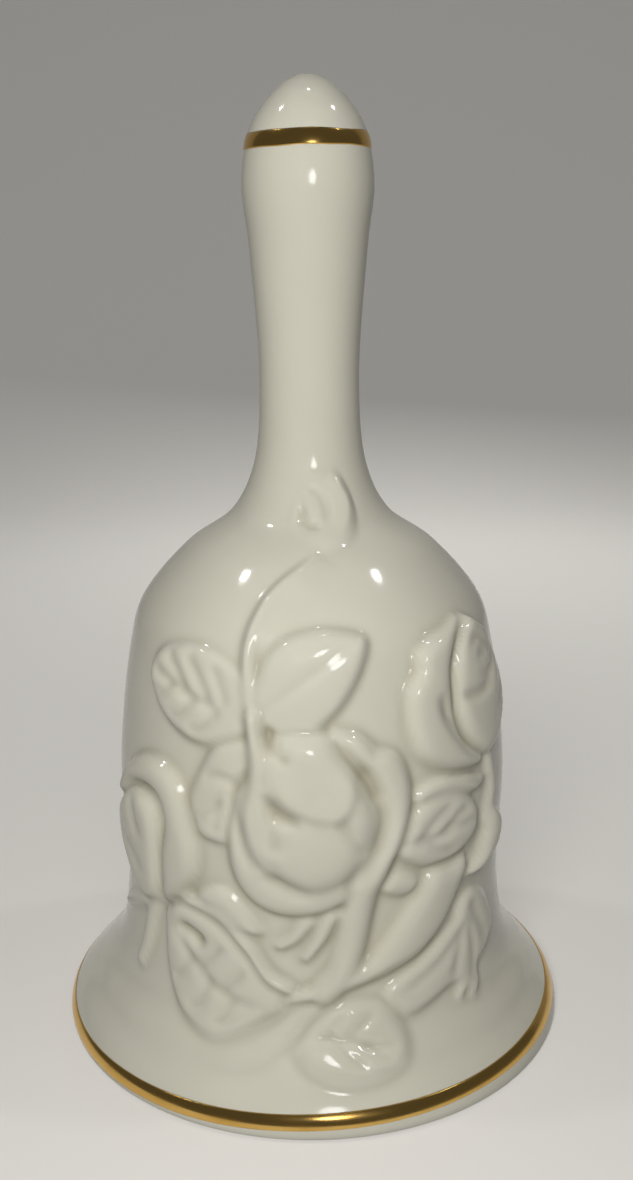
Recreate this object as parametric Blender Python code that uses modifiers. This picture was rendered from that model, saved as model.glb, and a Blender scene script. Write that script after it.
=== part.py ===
"""Porcelain hand bell with raised roses, two gilt bands, a plugged neck and a hanging clapper."""

import math

import bmesh
import bpy
import numpy as np
from mathutils import Vector

# Porcelain outline, from the table to the tip. Each radius is on the outside of the
# wall and each rise is measured from the station below it.
LIP_RADIUS = 0.0416
LIP_RISE = 0.0006
FLARE_RADIUS = 0.0369
FLARE_RISE = 0.0070
FOOT_RADIUS = 0.0330
FOOT_RISE = 0.0052
WAIST_RADIUS = 0.0310
WAIST_RISE = 0.0108
BELLY_RADIUS = 0.0314
BELLY_RISE = 0.0210
SHOULDER_RADIUS = 0.0289
SHOULDER_RISE = 0.0200
EDGE_RADIUS = 0.0271
EDGE_RISE = 0.0060
CROWN_RADIUS = 0.0199
CROWN_RISE = 0.0085
ROOT_RADIUS = 0.0124
ROOT_RISE = 0.0055
NECK_RADIUS = 0.0089
NECK_RISE = 0.0070
GRIP_RADIUS = 0.0077
GRIP_RISE = 0.0130
SWELL_RADIUS = 0.0090
SWELL_RISE = 0.0205
KNOB_RADIUS = 0.0099
KNOB_RISE = 0.0095
CAP_RADIUS = 0.0076
CAP_RISE = 0.0088
TIP_RISE = 0.0056

# Wall, lip and the hollow inside the handle.
WALL = 0.0030
LIP_ROUND = 0.0015
LIP_FLAT = 0.0012
HOLLOW_DOME = 0.0050

# Gilding, built thicker than the fired film so that it is a solid of its own.
GILT_THICKNESS = 0.0003
RIM_BAND_HEIGHT = 0.0014
RIM_BAND_WIDTH = 0.0026
KNOB_BAND_RISE = 0.0038
KNOB_BAND_WIDTH = 0.0023

# Hanger and clapper.
CLEARANCE = 0.0003
PLUG_LENGTH = 0.0090
PLUG_RISE = 0.0020
SHANK_DEPTH = 0.0050
EYE_DROP = 0.0010
WIRE_DIAMETER = 0.0012
EYE_BORE = 0.0032
LINK_BORE = 0.0032
LINK_STRAIGHT = 0.0040
HOOK_BORE = 0.0032
BEAD_DIAMETER = 0.0140
STRIKE_HEIGHT = 0.0176
STOP_DIAMETER = 0.0034
STOP_LENGTH = 0.0022
WIRE_TAIL = 0.0012

# Raised spray on the shell, which the mould repeats on the back. Each rise is measured from
# the turned surface, and each edge is the width over which a form rounds off.
LEAF_RISE = 0.0015
LEAF_EDGE = 0.0015
SEPAL_RISE = 0.0017
SEPAL_EDGE = 0.0018
PETAL_RISE = 0.0022
PETAL_EDGE = 0.0022
HEART_RISE = 0.0030
HEART_EDGE = 0.0045
BUD_RISE = 0.0024
BUD_EDGE = 0.0025
STEM_RISE = 0.0014
STEM_WIDTH = 0.0030
THICK_STEM_RISE = 0.0020
THICK_STEM_WIDTH = 0.0046
SPRAY_REACH = math.radians(74)
SPRAY_FOOT = 0.0046
SPRAY_TOP = 0.0800
NECK_BUD_TOP = 0.0940
GLAZE_SOFTENING = 0.0008

# Mesh fineness.
SEGMENTS = 40
SPAN_STEPS = 24
ARC_STEPS = 4
LOOP_STEPS = 24
BEAD_STEPS = 14
SAG = 0.00008
SPRAY_STEP = 0.0021
NECK_STEP = 0.0022
SPRAY_CUTS = 2
RIM_STEPS = 5

STATIONS = [
    (LIP_RADIUS, LIP_RISE),
    (FLARE_RADIUS, FLARE_RISE),
    (FOOT_RADIUS, FOOT_RISE),
    (WAIST_RADIUS, WAIST_RISE),
    (BELLY_RADIUS, BELLY_RISE),
    (SHOULDER_RADIUS, SHOULDER_RISE),
    (EDGE_RADIUS, EDGE_RISE),
    (CROWN_RADIUS, CROWN_RISE),
    (ROOT_RADIUS, ROOT_RISE),
    (NECK_RADIUS, NECK_RISE),
    (GRIP_RADIUS, GRIP_RISE),
    (SWELL_RADIUS, SWELL_RISE),
    (KNOB_RADIUS, KNOB_RISE),
    (CAP_RADIUS, CAP_RISE),
    (0.0, TIP_RISE),
]
ROOT_INDEX = 8
KNOB_INDEX = 12

# Rims and paths of the raised forms. A place is an angle in degrees to the right of the
# front and a height in millimetres above the lip's widest ring.
MM = 0.001
LEAVES = [
    [(-54, 65), (-46, 69), (-31, 69), (-19, 66), (-15, 61), (-20, 56), (-34, 55), (-48, 59)],
    [(-16, 63), (-12, 70), (0, 72.6), (16.5, 71), (14, 66), (8, 61), (1, 58), (-11, 58)],
    [(-14, 56.5), (-26, 55), (-33, 49), (-35, 42), (-24, 40), (-14, 43), (-11, 52)],
    [(-44.5, 28), (-45, 21), (-40, 13), (-25, 9.7), (-7, 15.4), (-14, 22.5), (-25, 28.6), (-38, 30)],
    [(43, 27), (50, 28.6), (59, 26.5), (69, 16), (58, 15), (46, 17.4), (42, 22)],
    [(21, 12), (30, 17), (44, 17.4), (57, 14.4), (50, 10), (40, 13), (28, 11)],
    [(-5, 9.6), (2, 14.6), (12, 16.5), (22, 14), (25, 10), (19, 6), (8, 5.2), (-1, 6.8)],
    [(27, 46), (34, 49), (46, 48.2), (57, 46), (40, 45)],
    [(21.5, 39.5), (28, 45.4), (40, 46.2), (51, 42), (49, 37.5), (38, 35), (27, 36.4)],
]
SEPALS = [
    [(-43, 28), (-32, 28.4), (-18, 23), (-4, 16.8), (-11, 21), (-24, 30), (-36, 31)],
    [(-33, 31), (-25, 33.4), (-17, 30.4), (-13, 26.6), (-22, 27)],
    [(47.5, 31), (54, 37), (60, 40.5), (65, 37), (60, 32), (53, 30.6)],
    [(17.5, 33.6), (25, 35.6), (32, 33.2), (25, 31.4)],
    [(-12, 31), (-9, 25), (-3, 25.4), (0, 31)],
    [(-3, 33), (-1.6, 23.4), (3, 25.8), (5.4, 33)],
    [(-8, 15.8), (12, 18), (30, 21.2), (41, 27), (47, 34.4), (33, 34.8), (20, 25.4), (4, 19.6)],
]
PETALS = [
    [(-20, 49), (-23.4, 39), (-19, 32), (-9, 29.6), (7, 31), (14, 36), (0, 40), (-14, 46)],
    [
        (12, 57), (20, 56.2), (27, 51), (27, 44), (22, 38),
        (15, 31.6), (12, 34), (18, 42), (19.4, 47), (15, 53),
    ],
    [
        (29, 51), (28, 58), (31.5, 67), (38, 70.4), (47, 69.6), (42, 62),
        (42, 58), (38, 58.6), (44, 53), (54, 49), (38, 48.4),
    ],
    [
        (-68, 42), (-60, 48), (-46, 50.8), (-36, 47.6), (-31.4, 39),
        (-34, 32), (-44, 28), (-42.6, 40), (-48, 45.4), (-60, 44),
    ],
]
HEARTS = [
    [
        (-18, 45), (-13, 38), (-3, 34.6), (8, 36), (15, 41),
        (16, 47), (10, 54), (0, 58.6), (-11, 56.4), (-17, 50),
    ],
]
BUDS = [
    [(43.4, 58), (45, 67), (54, 71.4), (65, 69), (70, 60), (64, 51), (55, 50), (46, 54)],
    [(-66, 40), (-58, 43.6), (-48, 42), (-45.6, 34), (-50, 26.8), (-62, 29.4)],
    [(9, 90.4), (24, 90), (34, 86), (26, 82), (10, 80.4), (0, 83), (-1, 87)],
]
STEMS = [
    [(6, 80.6), (-8, 77.6), (-16, 73.6), (-18, 68), (-16, 60.5), (-13, 50)],
    [(-25, 7.4), (-10, 10), (3, 17)],
    [(-50, 28), (-53, 22), (-57, 15)],
    [(-48, 28), (-62, 23.5), (-75, 20.4)],
    [(57, 39), (60, 44), (57, 50)],
]
THICK_STEMS = [
    [(17.5, 40), (12.4, 31), (9, 22.5), (3, 17.6)],
]


def station_points():
    """Return the outline stations as (radius, height) vectors, from the lip to the tip."""
    points = []
    height = 0.0
    for radius, rise in STATIONS:
        height += rise
        points.append(Vector((radius, height)))
    return points


def smooth_curve(points, start, end):
    """Return a smooth curve through the points that leaves along start and ends along end."""
    knots = [0.0]
    for before, after in zip(points, points[1:]):
        knots.append(knots[-1] + math.sqrt((after - before).length))
    slopes = [start * (points[1] - points[0]).length / (knots[1] - knots[0])]
    for i in range(1, len(points) - 1):
        before = (points[i] - points[i - 1]) / (knots[i] - knots[i - 1])
        after = (points[i + 1] - points[i]) / (knots[i + 1] - knots[i])
        across = (points[i + 1] - points[i - 1]) / (knots[i + 1] - knots[i - 1])
        slopes.append(before - across + after)
    slopes.append(end * (points[-1] - points[-2]).length / (knots[-1] - knots[-2]))
    curve = []
    for i in range(len(points) - 1):
        span = knots[i + 1] - knots[i]
        for step in range(SPAN_STEPS):
            t = step / SPAN_STEPS
            start_weight = 2 * t ** 3 - 3 * t ** 2 + 1
            start_pull = (t ** 3 - 2 * t ** 2 + t) * span
            end_pull = (t ** 3 - t ** 2) * span
            point = points[i] * start_weight + points[i + 1] * (1 - start_weight)
            curve.append(point + slopes[i] * start_pull + slopes[i + 1] * end_pull)
    curve.append(points[-1].copy())
    return curve


def inset(curve, depth):
    """Return the curve moved into the wall by depth, without points that fold back."""
    moved = []
    for i, point in enumerate(curve):
        before = curve[max(i - 1, 0)]
        after = curve[min(i + 1, len(curve) - 1)]
        along = (after - before).normalized()
        if i == 0:
            along = Vector((0.0, 1.0))
        place = point - Vector((along.y, -along.x)) * depth
        if not moved or place.y > moved[-1].y:
            moved.append(place)
    return moved


def at_height(curve, height):
    """Return the point of the curve at a height."""
    for before, after in zip(curve, curve[1:]):
        if before.y <= height <= after.y:
            share = (height - before.y) / (after.y - before.y)
            return before.lerp(after, share)
    return curve[-1].copy()


def stretch(curve, low, high):
    """Return the part of the curve between two heights, from low to high."""
    inner = [point.copy() for point in curve if low < point.y < high]
    return [at_height(curve, low)] + inner + [at_height(curve, high)]


def thinned(points, sag):
    """Return as few of the points as keep the line within sag of them."""
    kept = [points[0]]
    start = 0
    while start < len(points) - 1:
        end = start + 1
        while end + 1 < len(points) and bulge(points[start:end + 2]) < sag:
            end += 1
        kept.append(points[end])
        start = end
    return kept


def bulge(points):
    """Return how far the points stray from the straight line between their ends."""
    run = points[-1] - points[0]
    across = Vector((-run.y, run.x)).normalized()
    return max(abs((point - points[0]).dot(across)) for point in points)


def spaced(points, gap):
    """Return the first and last points and those between that are about a gap apart."""
    kept = [points[0]]
    for point in points[1:-1]:
        if min((point - kept[-1]).length, 2 * (points[-1] - point).length) >= gap:
            kept.append(point)
    return kept + [points[-1]]


def quarter(corner, start, end):
    """Return the points of a quarter ellipse from start to end whose sides meet at corner."""
    middle = start + end - corner
    points = []
    for step in range(ARC_STEPS + 1):
        angle = 0.5 * math.pi * step / ARC_STEPS
        points.append(middle + (start - middle) * math.cos(angle) + (end - middle) * math.sin(angle))
    return points


def rim_path(places, curve, closed):
    """Return a smooth path through places, unrolled to metres across and up the outline."""
    heights, lengths = unrolled(curve)
    places = np.array(places, dtype=float)
    heights_here = places[:, 1] * MM + curve[0].y
    radius = np.interp(heights_here.mean(), heights, [point.x for point in curve])
    across = np.radians(places[:, 0]) * radius
    points = np.column_stack([across, np.interp(heights_here, heights, lengths)])
    ends = (points[-1:], points[:2]) if closed else (points[:1], points[-1:])
    run = np.concatenate([ends[0], points, ends[1]])
    path = []
    for before, start, end, after in zip(run, run[1:], run[2:], run[3:]):
        for step in range(RIM_STEPS):
            t = step / RIM_STEPS
            bend = (end - before) * t + (2 * before - 5 * start + 4 * end - after) * t ** 2
            path.append(start + 0.5 * (bend + (3 * start - before - 3 * end + after) * t ** 3))
    path.append(run[-2])
    return np.array(path), radius


def unrolled(curve):
    """Return the heights of a curve's points and their distances along it."""
    steps = [(after - before).length for before, after in zip(curve, curve[1:])]
    return [point.y for point in curve], np.concatenate([[0.0], np.cumsum(steps)])


def path_gap(spots, path):
    """Return the distance of each spot from a path."""
    gap = np.full(len(spots), np.inf)
    for start, end in zip(path, path[1:]):
        run = end - start
        share = np.clip((spots - start) @ run / (run @ run), 0.0, 1.0)
        gap = np.minimum(gap, np.linalg.norm(spots - start - share[:, None] * run, axis=1))
    return gap


def within(spots, path):
    """Return which spots lie inside a closed path."""
    inside = np.zeros(len(spots), dtype=bool)
    for start, end in zip(path, path[1:]):
        spans = (start[1] > spots[:, 1]) != (end[1] > spots[:, 1])
        slope = (end[0] - start[0]) / (end[1] - start[1]) if end[1] != start[1] else 0.0
        inside ^= spans & (spots[:, 0] < start[0] + (spots[:, 1] - start[1]) * slope)
    return inside


def spray_rise(turns, heights, curve):
    """Return how far the spray stands out at angles and heights on the outline."""
    curve_heights, lengths = unrolled(curve)
    up = np.interp(heights, curve_heights, lengths)
    rise = np.zeros(len(turns))
    groups = (
        (LEAVES, LEAF_RISE, LEAF_EDGE),
        (SEPALS, SEPAL_RISE, SEPAL_EDGE),
        (PETALS, PETAL_RISE, PETAL_EDGE),
        (HEARTS, HEART_RISE, HEART_EDGE),
        (BUDS, BUD_RISE, BUD_EDGE),
    )
    for rims, height, edge in groups:
        for rim in rims:
            path, radius = rim_path(rim, curve, True)
            spots = np.column_stack([turns * radius, up])
            share = np.clip(path_gap(spots, path) / edge, 0.0, 1.0) * within(spots, path)
            rise = np.maximum(rise, height * np.sqrt(1 - (1 - share) ** 2))
    stem_groups = (
        (STEMS, STEM_RISE, STEM_WIDTH),
        (THICK_STEMS, THICK_STEM_RISE, THICK_STEM_WIDTH),
    )
    for stems, height, width in stem_groups:
        for stem in stems:
            path, radius = rim_path(stem, curve, False)
            share = path_gap(np.column_stack([turns * radius, up]), path) / (width / 2)
            rise = np.maximum(rise, height * np.sqrt(np.clip(1 - share ** 2, 0.0, 1.0)))
    return rise


def glazed_rise(turns, heights, curve):
    """Return the rise of the spray under a glaze that evens out its edges."""
    steps = (-GLAZE_SOFTENING, 0.0, GLAZE_SOFTENING)
    places = [(across / WAIST_RADIUS, up) for across in steps for up in steps]
    return sum(spray_rise(turns + turn, heights + up, curve) for turn, up in places) / len(places)


def raise_spray(piece, curve):
    """Cut finer columns into the outside of a turned shell and raise the spray on it."""
    graph = bpy.context.evaluated_depsgraph_get()
    mesh = bpy.data.meshes.new_from_object(piece.evaluated_get(graph))
    heights = [point.y for point in curve]
    radii = [point.x for point in curve]
    foot = curve[0].y + SPRAY_FOOT
    shape = bmesh.new()
    shape.from_mesh(mesh)

    def turn_of(place):
        """Return the angle from the front or the back, whichever is nearer."""
        turn = math.atan2(place.x, -place.y)
        return turn - math.pi * round(turn / math.pi)

    def outside(place):
        """Return whether a place is on the outer face."""
        return math.hypot(place.x, place.y) > np.interp(place.z, heights, radii) - WALL / 2

    rings = []
    for edge in shape.edges:
        first, last = (vert.co for vert in edge.verts)
        middle = (first + last) / 2
        level = abs(first.z - last.z) < SAG and foot <= middle.z <= curve[0].y + SPRAY_TOP
        if level and abs(turn_of(middle)) < SPRAY_REACH and outside(middle):
            rings.append(edge)
    bmesh.ops.subdivide_edges(shape, edges=rings, cuts=SPRAY_CUTS, use_grid_fill=False)

    top = curve[0].y + NECK_BUD_TOP
    raised = [vert for vert in shape.verts if foot <= vert.co.z <= top and outside(vert.co)]
    turns = np.array([turn_of(vert.co) for vert in raised])
    rises = glazed_rise(turns, np.array([vert.co.z for vert in raised]), curve)
    slopes = np.gradient(radii, heights)
    for vert, rise in zip(raised, rises):
        outward = Vector((vert.co.x, vert.co.y, 0.0)).normalized()
        slope = np.interp(vert.co.z, heights, slopes)
        normal = (outward - Vector((0.0, 0.0, slope))).normalized()
        bare = outward * np.interp(vert.co.z, heights, radii) + Vector((0.0, 0.0, vert.co.z))
        vert.co = bare + normal * rise
    bmesh.ops.triangulate(shape, faces=[face for face in shape.faces if len(face.verts) > 4])
    shape.to_mesh(mesh)
    shape.free()
    piece.modifiers.clear()
    piece.data = mesh


def material(name, colour, metallic, roughness):
    """Return a Principled material."""
    made = bpy.data.materials.new(name)
    made.use_nodes = True
    shader = made.node_tree.nodes["Principled BSDF"]
    shader.inputs["Base Color"].default_value = (*colour, 1.0)
    shader.inputs["Metallic"].default_value = metallic
    shader.inputs["Roughness"].default_value = roughness
    return made


def turned(name, profile, closed, made_of, origin=0.0):
    """Add a turned piece from a profile that runs down its outer side, about the Z axis."""
    mesh = bpy.data.meshes.new(name)
    places = [(point.x, 0.0, point.y - origin) for point in profile]
    edges = [(i, i + 1) for i in range(len(places) - 1)]
    if closed:
        edges.append((len(places) - 1, 0))
    mesh.from_pydata(places, edges, [])
    mesh.materials.append(made_of)
    piece = bpy.data.objects.new(name, mesh)
    piece.location.z = origin
    parts.objects.link(piece)
    screw = piece.modifiers.new("turn", "SCREW")
    screw.axis = "Z"
    screw.angle = 2 * math.pi
    screw.steps = SEGMENTS
    screw.render_steps = SEGMENTS
    screw.use_merge_vertices = True
    screw.merge_threshold = 1e-5
    return piece


def wire(name, path, cyclic, made_of, origin):
    """Add a round wire along a path of world points, with its origin on the axis."""
    curve = bpy.data.curves.new(name, "CURVE")
    curve.dimensions = "3D"
    curve.bevel_depth = WIRE_DIAMETER / 2
    curve.bevel_resolution = 2
    curve.use_fill_caps = True
    spline = curve.splines.new("POLY")
    spline.points.add(len(path) - 1)
    for point, place in zip(spline.points, path):
        point.co = (place.x, place.y, place.z - origin, 1.0)
    spline.use_cyclic_u = cyclic
    curve.materials.append(made_of)
    piece = bpy.data.objects.new(name, curve)
    piece.location.z = origin
    parts.objects.link(piece)
    return piece


def ring_path(centre, radius, first, last):
    """Return points of an arc in the XZ plane, with angles measured from +X towards +Z."""
    points = []
    for step in range(LOOP_STEPS + 1):
        angle = first + (last - first) * step / LOOP_STEPS
        points.append(Vector((radius * math.cos(angle), 0.0, centre + radius * math.sin(angle))))
    return points


def loop_opening(radius):
    """Return the angle beside the shank at which the loop's end clears it."""
    reach = WIRE_DIAMETER + CLEARANCE
    return math.asin(min(reach / radius, 1.0))


for item in list(bpy.data.objects):
    bpy.data.objects.remove(item)
parts = bpy.data.collections.new("porcelain_bell")
bpy.context.scene.collection.children.link(parts)

porcelain = material("glazed_porcelain", (0.78, 0.75, 0.66), 0.0, 0.12)
gold = material("fired_gilding", (0.83, 0.56, 0.18), 1.0, 0.18)
plaster = material("potters_cement", (0.62, 0.58, 0.50), 0.0, 0.85)
brass = material("brass_wire", (0.72, 0.52, 0.22), 1.0, 0.32)
bisque = material("bead_porcelain", (0.80, 0.78, 0.70), 0.0, 0.30)

# Porcelain shell. The profile runs from the tip down the outside, under the lip and up
# the inside to the top of the hollow in the handle.
stations = station_points()
outer = smooth_curve(stations, Vector((0.0, 1.0)), Vector((-1.0, 0.0)))
inner = inset(outer, WALL)
rim_low = RIM_BAND_HEIGHT
rim_high = RIM_BAND_HEIGHT + RIM_BAND_WIDTH
knob_low = stations[KNOB_INDEX].y + KNOB_BAND_RISE
knob_high = knob_low + KNOB_BAND_WIDTH
lip_height = stations[0].y
tip_height = stations[-1].y
bed_depth = GILT_THICKNESS + CLEARANCE
bed = inset(outer, bed_depth)

spray_foot = lip_height + SPRAY_FOOT
spray_top = lip_height + SPRAY_TOP
neck_top = lip_height + NECK_BUD_TOP
outside = thinned(stretch(outer, lip_height, rim_low - CLEARANCE), SAG)
outside += thinned(stretch(bed, rim_low - CLEARANCE, rim_high + CLEARANCE), SAG)
outside += thinned(stretch(outer, rim_high + CLEARANCE, spray_foot), SAG)
outside += spaced(stretch(outer, spray_foot, spray_top), SPRAY_STEP)[1:]
outside += spaced(stretch(outer, spray_top, neck_top), NECK_STEP)[1:]
outside += thinned(stretch(outer, neck_top, knob_low - CLEARANCE), SAG)[1:]
outside += thinned(stretch(bed, knob_low - CLEARANCE, knob_high + CLEARANCE), SAG)
outside += thinned(stretch(outer, knob_high + CLEARANCE, tip_height), SAG)
outside.reverse()

flat_outer = Vector((LIP_RADIUS - LIP_ROUND, 0.0))
flat_inner = Vector((LIP_RADIUS - LIP_ROUND - LIP_FLAT, 0.0))
under_lip = quarter(Vector((LIP_RADIUS, 0.0)), outside[-1], flat_outer)[1:]
under_lip += quarter(Vector((inner[0].x, 0.0)), flat_inner, inner[0])

hollow_end = at_height(inner, stations[KNOB_INDEX].y)
inside = thinned(stretch(inner, inner[0].y, hollow_end.y), SAG)[1:-1]
hollow_top = Vector((0.0, hollow_end.y + HOLLOW_DOME))
dome = quarter(Vector((hollow_end.x, hollow_top.y)), hollow_end, hollow_top)
shell = turned("porcelain_body", outside + under_lip + inside + dome, False, porcelain)
raise_spray(shell, outer)

# Gilt bands, each flush with the glaze in a shallow bed of its own.
film = inset(outer, GILT_THICKNESS)
for name, low, high in (("rim_gilt_band", rim_low, rim_high), ("knob_gilt_band", knob_low, knob_high)):
    face = thinned(stretch(outer, low, high), SAG)
    back = thinned(stretch(film, low, high), SAG)
    turned(name, face[::-1] + back, True, gold)

# Cement plug that fills the neck and holds the shank of the eye.
plug_low = stations[ROOT_INDEX].y + PLUG_RISE
plug_high = plug_low + PLUG_LENGTH
plug_side = thinned(stretch(inset(outer, WALL + CLEARANCE), plug_low, plug_high), SAG)
plug_side.reverse()
wire_radius = WIRE_DIAMETER / 2
bore_radius = wire_radius + CLEARANCE
bore_end = plug_low + SHANK_DEPTH + CLEARANCE
plug = [Vector((0.0, plug_high))] + plug_side
plug.append(Vector((bore_radius, plug_low)))
plug.append(Vector((bore_radius, bore_end)))
plug.append(Vector((0.0, bore_end)))
turned("crown_plug", plug, False, plaster)

# Wire eye below the plug. Its loop lies in the XZ plane, so the link swings about X.
eye_radius = EYE_BORE / 2 + wire_radius
eye_centre = plug_low - EYE_DROP - wire_radius - eye_radius
eye_end = math.pi / 2 - loop_opening(eye_radius)
eye_path = [Vector((0.0, 0.0, plug_low + SHANK_DEPTH))]
eye_path += ring_path(eye_centre, eye_radius, math.pi / 2, 2 * math.pi + eye_end)
wire("crown_eye", eye_path, False, brass, plug_low)

# Oval link in the YZ plane. It hangs on the bottom of the eye.
seat = WIRE_DIAMETER + CLEARANCE
link_pivot = eye_centre - eye_radius
link_radius = LINK_BORE / 2 + wire_radius
link_top = link_pivot + seat - link_radius
link_foot = link_top - LINK_STRAIGHT
link_path = [Vector((0.0, p.x, p.z)) for p in ring_path(link_top, link_radius, 0.0, math.pi)]
link_path += [Vector((0.0, p.x, p.z)) for p in ring_path(link_foot, link_radius, math.pi, 2 * math.pi)]
wire("swing_link", link_path, True, brass, link_pivot)

# Clapper wire. Its hook lies in the XZ plane, so it swings about Y on the link's foot.
clapper_pivot = link_foot - link_radius
hook_radius = HOOK_BORE / 2 + wire_radius
hook_centre = clapper_pivot + seat - hook_radius
hook_start = -math.pi / 2 + loop_opening(hook_radius)
bead_radius = BEAD_DIAMETER / 2
bead_bore_rise = math.sqrt(bead_radius ** 2 - bore_radius ** 2)
upper_stop = STRIKE_HEIGHT + bead_bore_rise + CLEARANCE
lower_stop = STRIKE_HEIGHT - bead_bore_rise - CLEARANCE - STOP_LENGTH
wire_path = ring_path(hook_centre, hook_radius, hook_start, 3 * math.pi / 2)
wire_path.append(Vector((0.0, 0.0, lower_stop - WIRE_TAIL)))
clapper = wire("clapper_wire", wire_path, False, brass, clapper_pivot)

# Bead and the two stops that hold it on the wire.
bead_turn = math.acos(bore_radius / bead_radius)
ball = []
for step in range(BEAD_STEPS + 1):
    angle = bead_turn - 2 * bead_turn * step / BEAD_STEPS
    ball.append(Vector((bead_radius * math.cos(angle), STRIKE_HEIGHT + bead_radius * math.sin(angle))))
bead = turned("clapper_bead", ball, True, bisque, STRIKE_HEIGHT)

stop_radius = STOP_DIAMETER / 2
for name, foot in (("upper_stop", upper_stop), ("lower_stop", lower_stop)):
    head = foot + STOP_LENGTH
    middle = foot + STOP_LENGTH / 2
    shoulder = (stop_radius + bore_radius) / 2
    barrel = [
        Vector((bore_radius, head)),
        Vector((shoulder, head)),
        Vector((stop_radius, middle)),
        Vector((shoulder, foot)),
        Vector((bore_radius, foot)),
    ]
    turned(name, barrel, True, brass, middle)
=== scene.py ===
"""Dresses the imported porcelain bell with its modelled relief, glaze, gilding and hanger."""

import logging
import math
from dataclasses import dataclass, field
from enum import Enum

import bmesh
import bpy
import numpy as np
from mathutils import Matrix, Vector

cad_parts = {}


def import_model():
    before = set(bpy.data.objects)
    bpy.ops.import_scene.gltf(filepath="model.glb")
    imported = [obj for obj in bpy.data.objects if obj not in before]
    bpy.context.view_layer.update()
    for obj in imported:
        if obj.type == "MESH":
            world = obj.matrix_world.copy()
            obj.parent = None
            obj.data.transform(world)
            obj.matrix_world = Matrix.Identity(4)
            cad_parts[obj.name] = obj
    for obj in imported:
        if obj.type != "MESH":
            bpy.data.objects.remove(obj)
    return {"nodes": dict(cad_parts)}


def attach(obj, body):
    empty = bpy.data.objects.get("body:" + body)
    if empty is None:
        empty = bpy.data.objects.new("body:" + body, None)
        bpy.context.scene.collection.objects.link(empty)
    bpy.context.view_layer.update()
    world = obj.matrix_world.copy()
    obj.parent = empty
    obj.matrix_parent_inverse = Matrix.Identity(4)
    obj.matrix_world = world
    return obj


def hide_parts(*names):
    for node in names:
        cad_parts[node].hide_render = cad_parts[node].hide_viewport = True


LOG = logging.getLogger("porcelain_bell")
MM = 0.001
DOWN = Vector((0.0, 0.0, -1.0))
HALF_TURN = 180.0
TURN_AND_QUARTER = 450.0
# Points closer than this, in metres, are one point.
WELD = 1e-7
# The least squared length that is divided by.
TINY = 1e-12
# A reading of the sheet stays this many rows below its top, so that the row above exists.
TOP_KEEP = 1.001
# Where the belly and the knob come in the outline's stations.
BELLY = 4
KNOB = 12
# A soft line has died away at this many times its width.
REACH = 3.0
# A line fades in and out over one part in this many of its length.
END_PACE = 4.0
# A crease has its full depth in clay that is at least this high, in millimetres.
FULL_CUT = 0.6

# A place on the shell is an angle in degrees from the front, positive to the viewer's
# right, and a height in millimetres above the lip's widest ring.
Places = tuple[tuple[float, float], ...]
Colour = tuple[float, float, float, float]
Tree = bpy.types.NodeTree
Socket = bpy.types.NodeSocket
Material = bpy.types.Material
Piece = bpy.types.Object
Shape = bmesh.types.BMesh
Edge = bmesh.types.BMEdge


class Body(Enum):
    """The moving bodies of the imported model."""

    BELL = "bell"
    LINK = "link"
    CLAPPER = "clapper"
    BEAD = "bead"


class Slot(Enum):
    """The record's material slots."""

    PORCELAIN = "porcelain"
    GILDING = "gilding"
    PLUG = "plug"
    WIRE = "wire"
    BEAD = "bead"


def linear(code: str) -> Colour:
    """Turns an sRGB hex colour into a linear one.

    Args:
        code: six hex digits after a hash sign.

    Returns:
        Linear red, green, blue and an alpha of 1.
    """
    parts = [int(code[i:i + 2], 16) / 255 for i in (1, 3, 5)]
    made = [p / 12.92 if p <= 0.04045 else ((p + 0.055) / 1.055) ** 2.4 for p in parts]
    return made[0], made[1], made[2], 1.0


def add_node(
    tree: Tree,
    kind: str,
    values: dict[str, object],
    links: dict[str, Socket],
    **settings: object,
) -> bpy.types.Node:
    """Adds a node with its settings and links.

    Args:
        tree: the material's node tree.
        kind: the node's type name.
        values: input name to fixed value.
        links: input name to the socket that feeds it.
        **settings: the node's own properties.

    Returns:
        The new node.
    """
    node = tree.nodes.new(kind)
    for name, value in settings.items():
        setattr(node, name, value)
    for name, value in values.items():
        node.inputs[name].default_value = value
    for name, socket in links.items():
        tree.links.new(socket, node.inputs[name])
    return node


def own_coords(tree: Tree) -> Socket:
    """Returns the coordinates of the piece itself."""
    return add_node(tree, "ShaderNodeTexCoord", {}, {}).outputs["Object"]


def noise(tree: Tree, coords: Socket, size_mm: float, detail: float) -> Socket:
    """Adds a cloudy noise.

    Args:
        tree: the material's node tree.
        coords: the coordinates that it follows.
        size_mm: the size of its clouds.
        detail: how many finer layers it has.

    Returns:
        The noise's value.
    """
    values = {"Scale": 1 / (size_mm * MM), "Detail": detail}
    return add_node(tree, "ShaderNodeTexNoise", values, {"Vector": coords}).outputs["Fac"]


def blend(tree: Tree, first: Colour, second: Colour, share: Socket) -> Socket:
    """Blends two colours.

    Args:
        tree: the node tree.
        first: the colour where the share is 0.
        second: the colour where the share is 1.
        share: what drives the blend.

    Returns:
        The blended colour.
    """
    values = {"A": first, "B": second}
    return add_node(tree, "ShaderNodeMix", values, {"Factor": share}, data_type="RGBA").outputs["Result"]


def bumps(tree: Tree, height: Socket, depth_mm: float, strength: float) -> Socket:
    """Adds fine bumps.

    Args:
        tree: the material's node tree.
        height: what drives them.
        depth_mm: how deep they are.
        strength: how much they bend the light.

    Returns:
        The bumped normal.
    """
    values = {"Strength": strength, "Distance": depth_mm * MM}
    return add_node(tree, "ShaderNodeBump", values, {"Height": height}).outputs["Normal"]


def new_material(name: str) -> tuple[Material, Tree, bpy.types.Node]:
    """Starts a material.

    Args:
        name: what the real material is called.

    Returns:
        The material, its node tree and its Principled shader.
    """
    material = bpy.data.materials.new(name)
    material.use_nodes = True
    tree = material.node_tree
    return material, tree, tree.nodes["Principled BSDF"]


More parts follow.
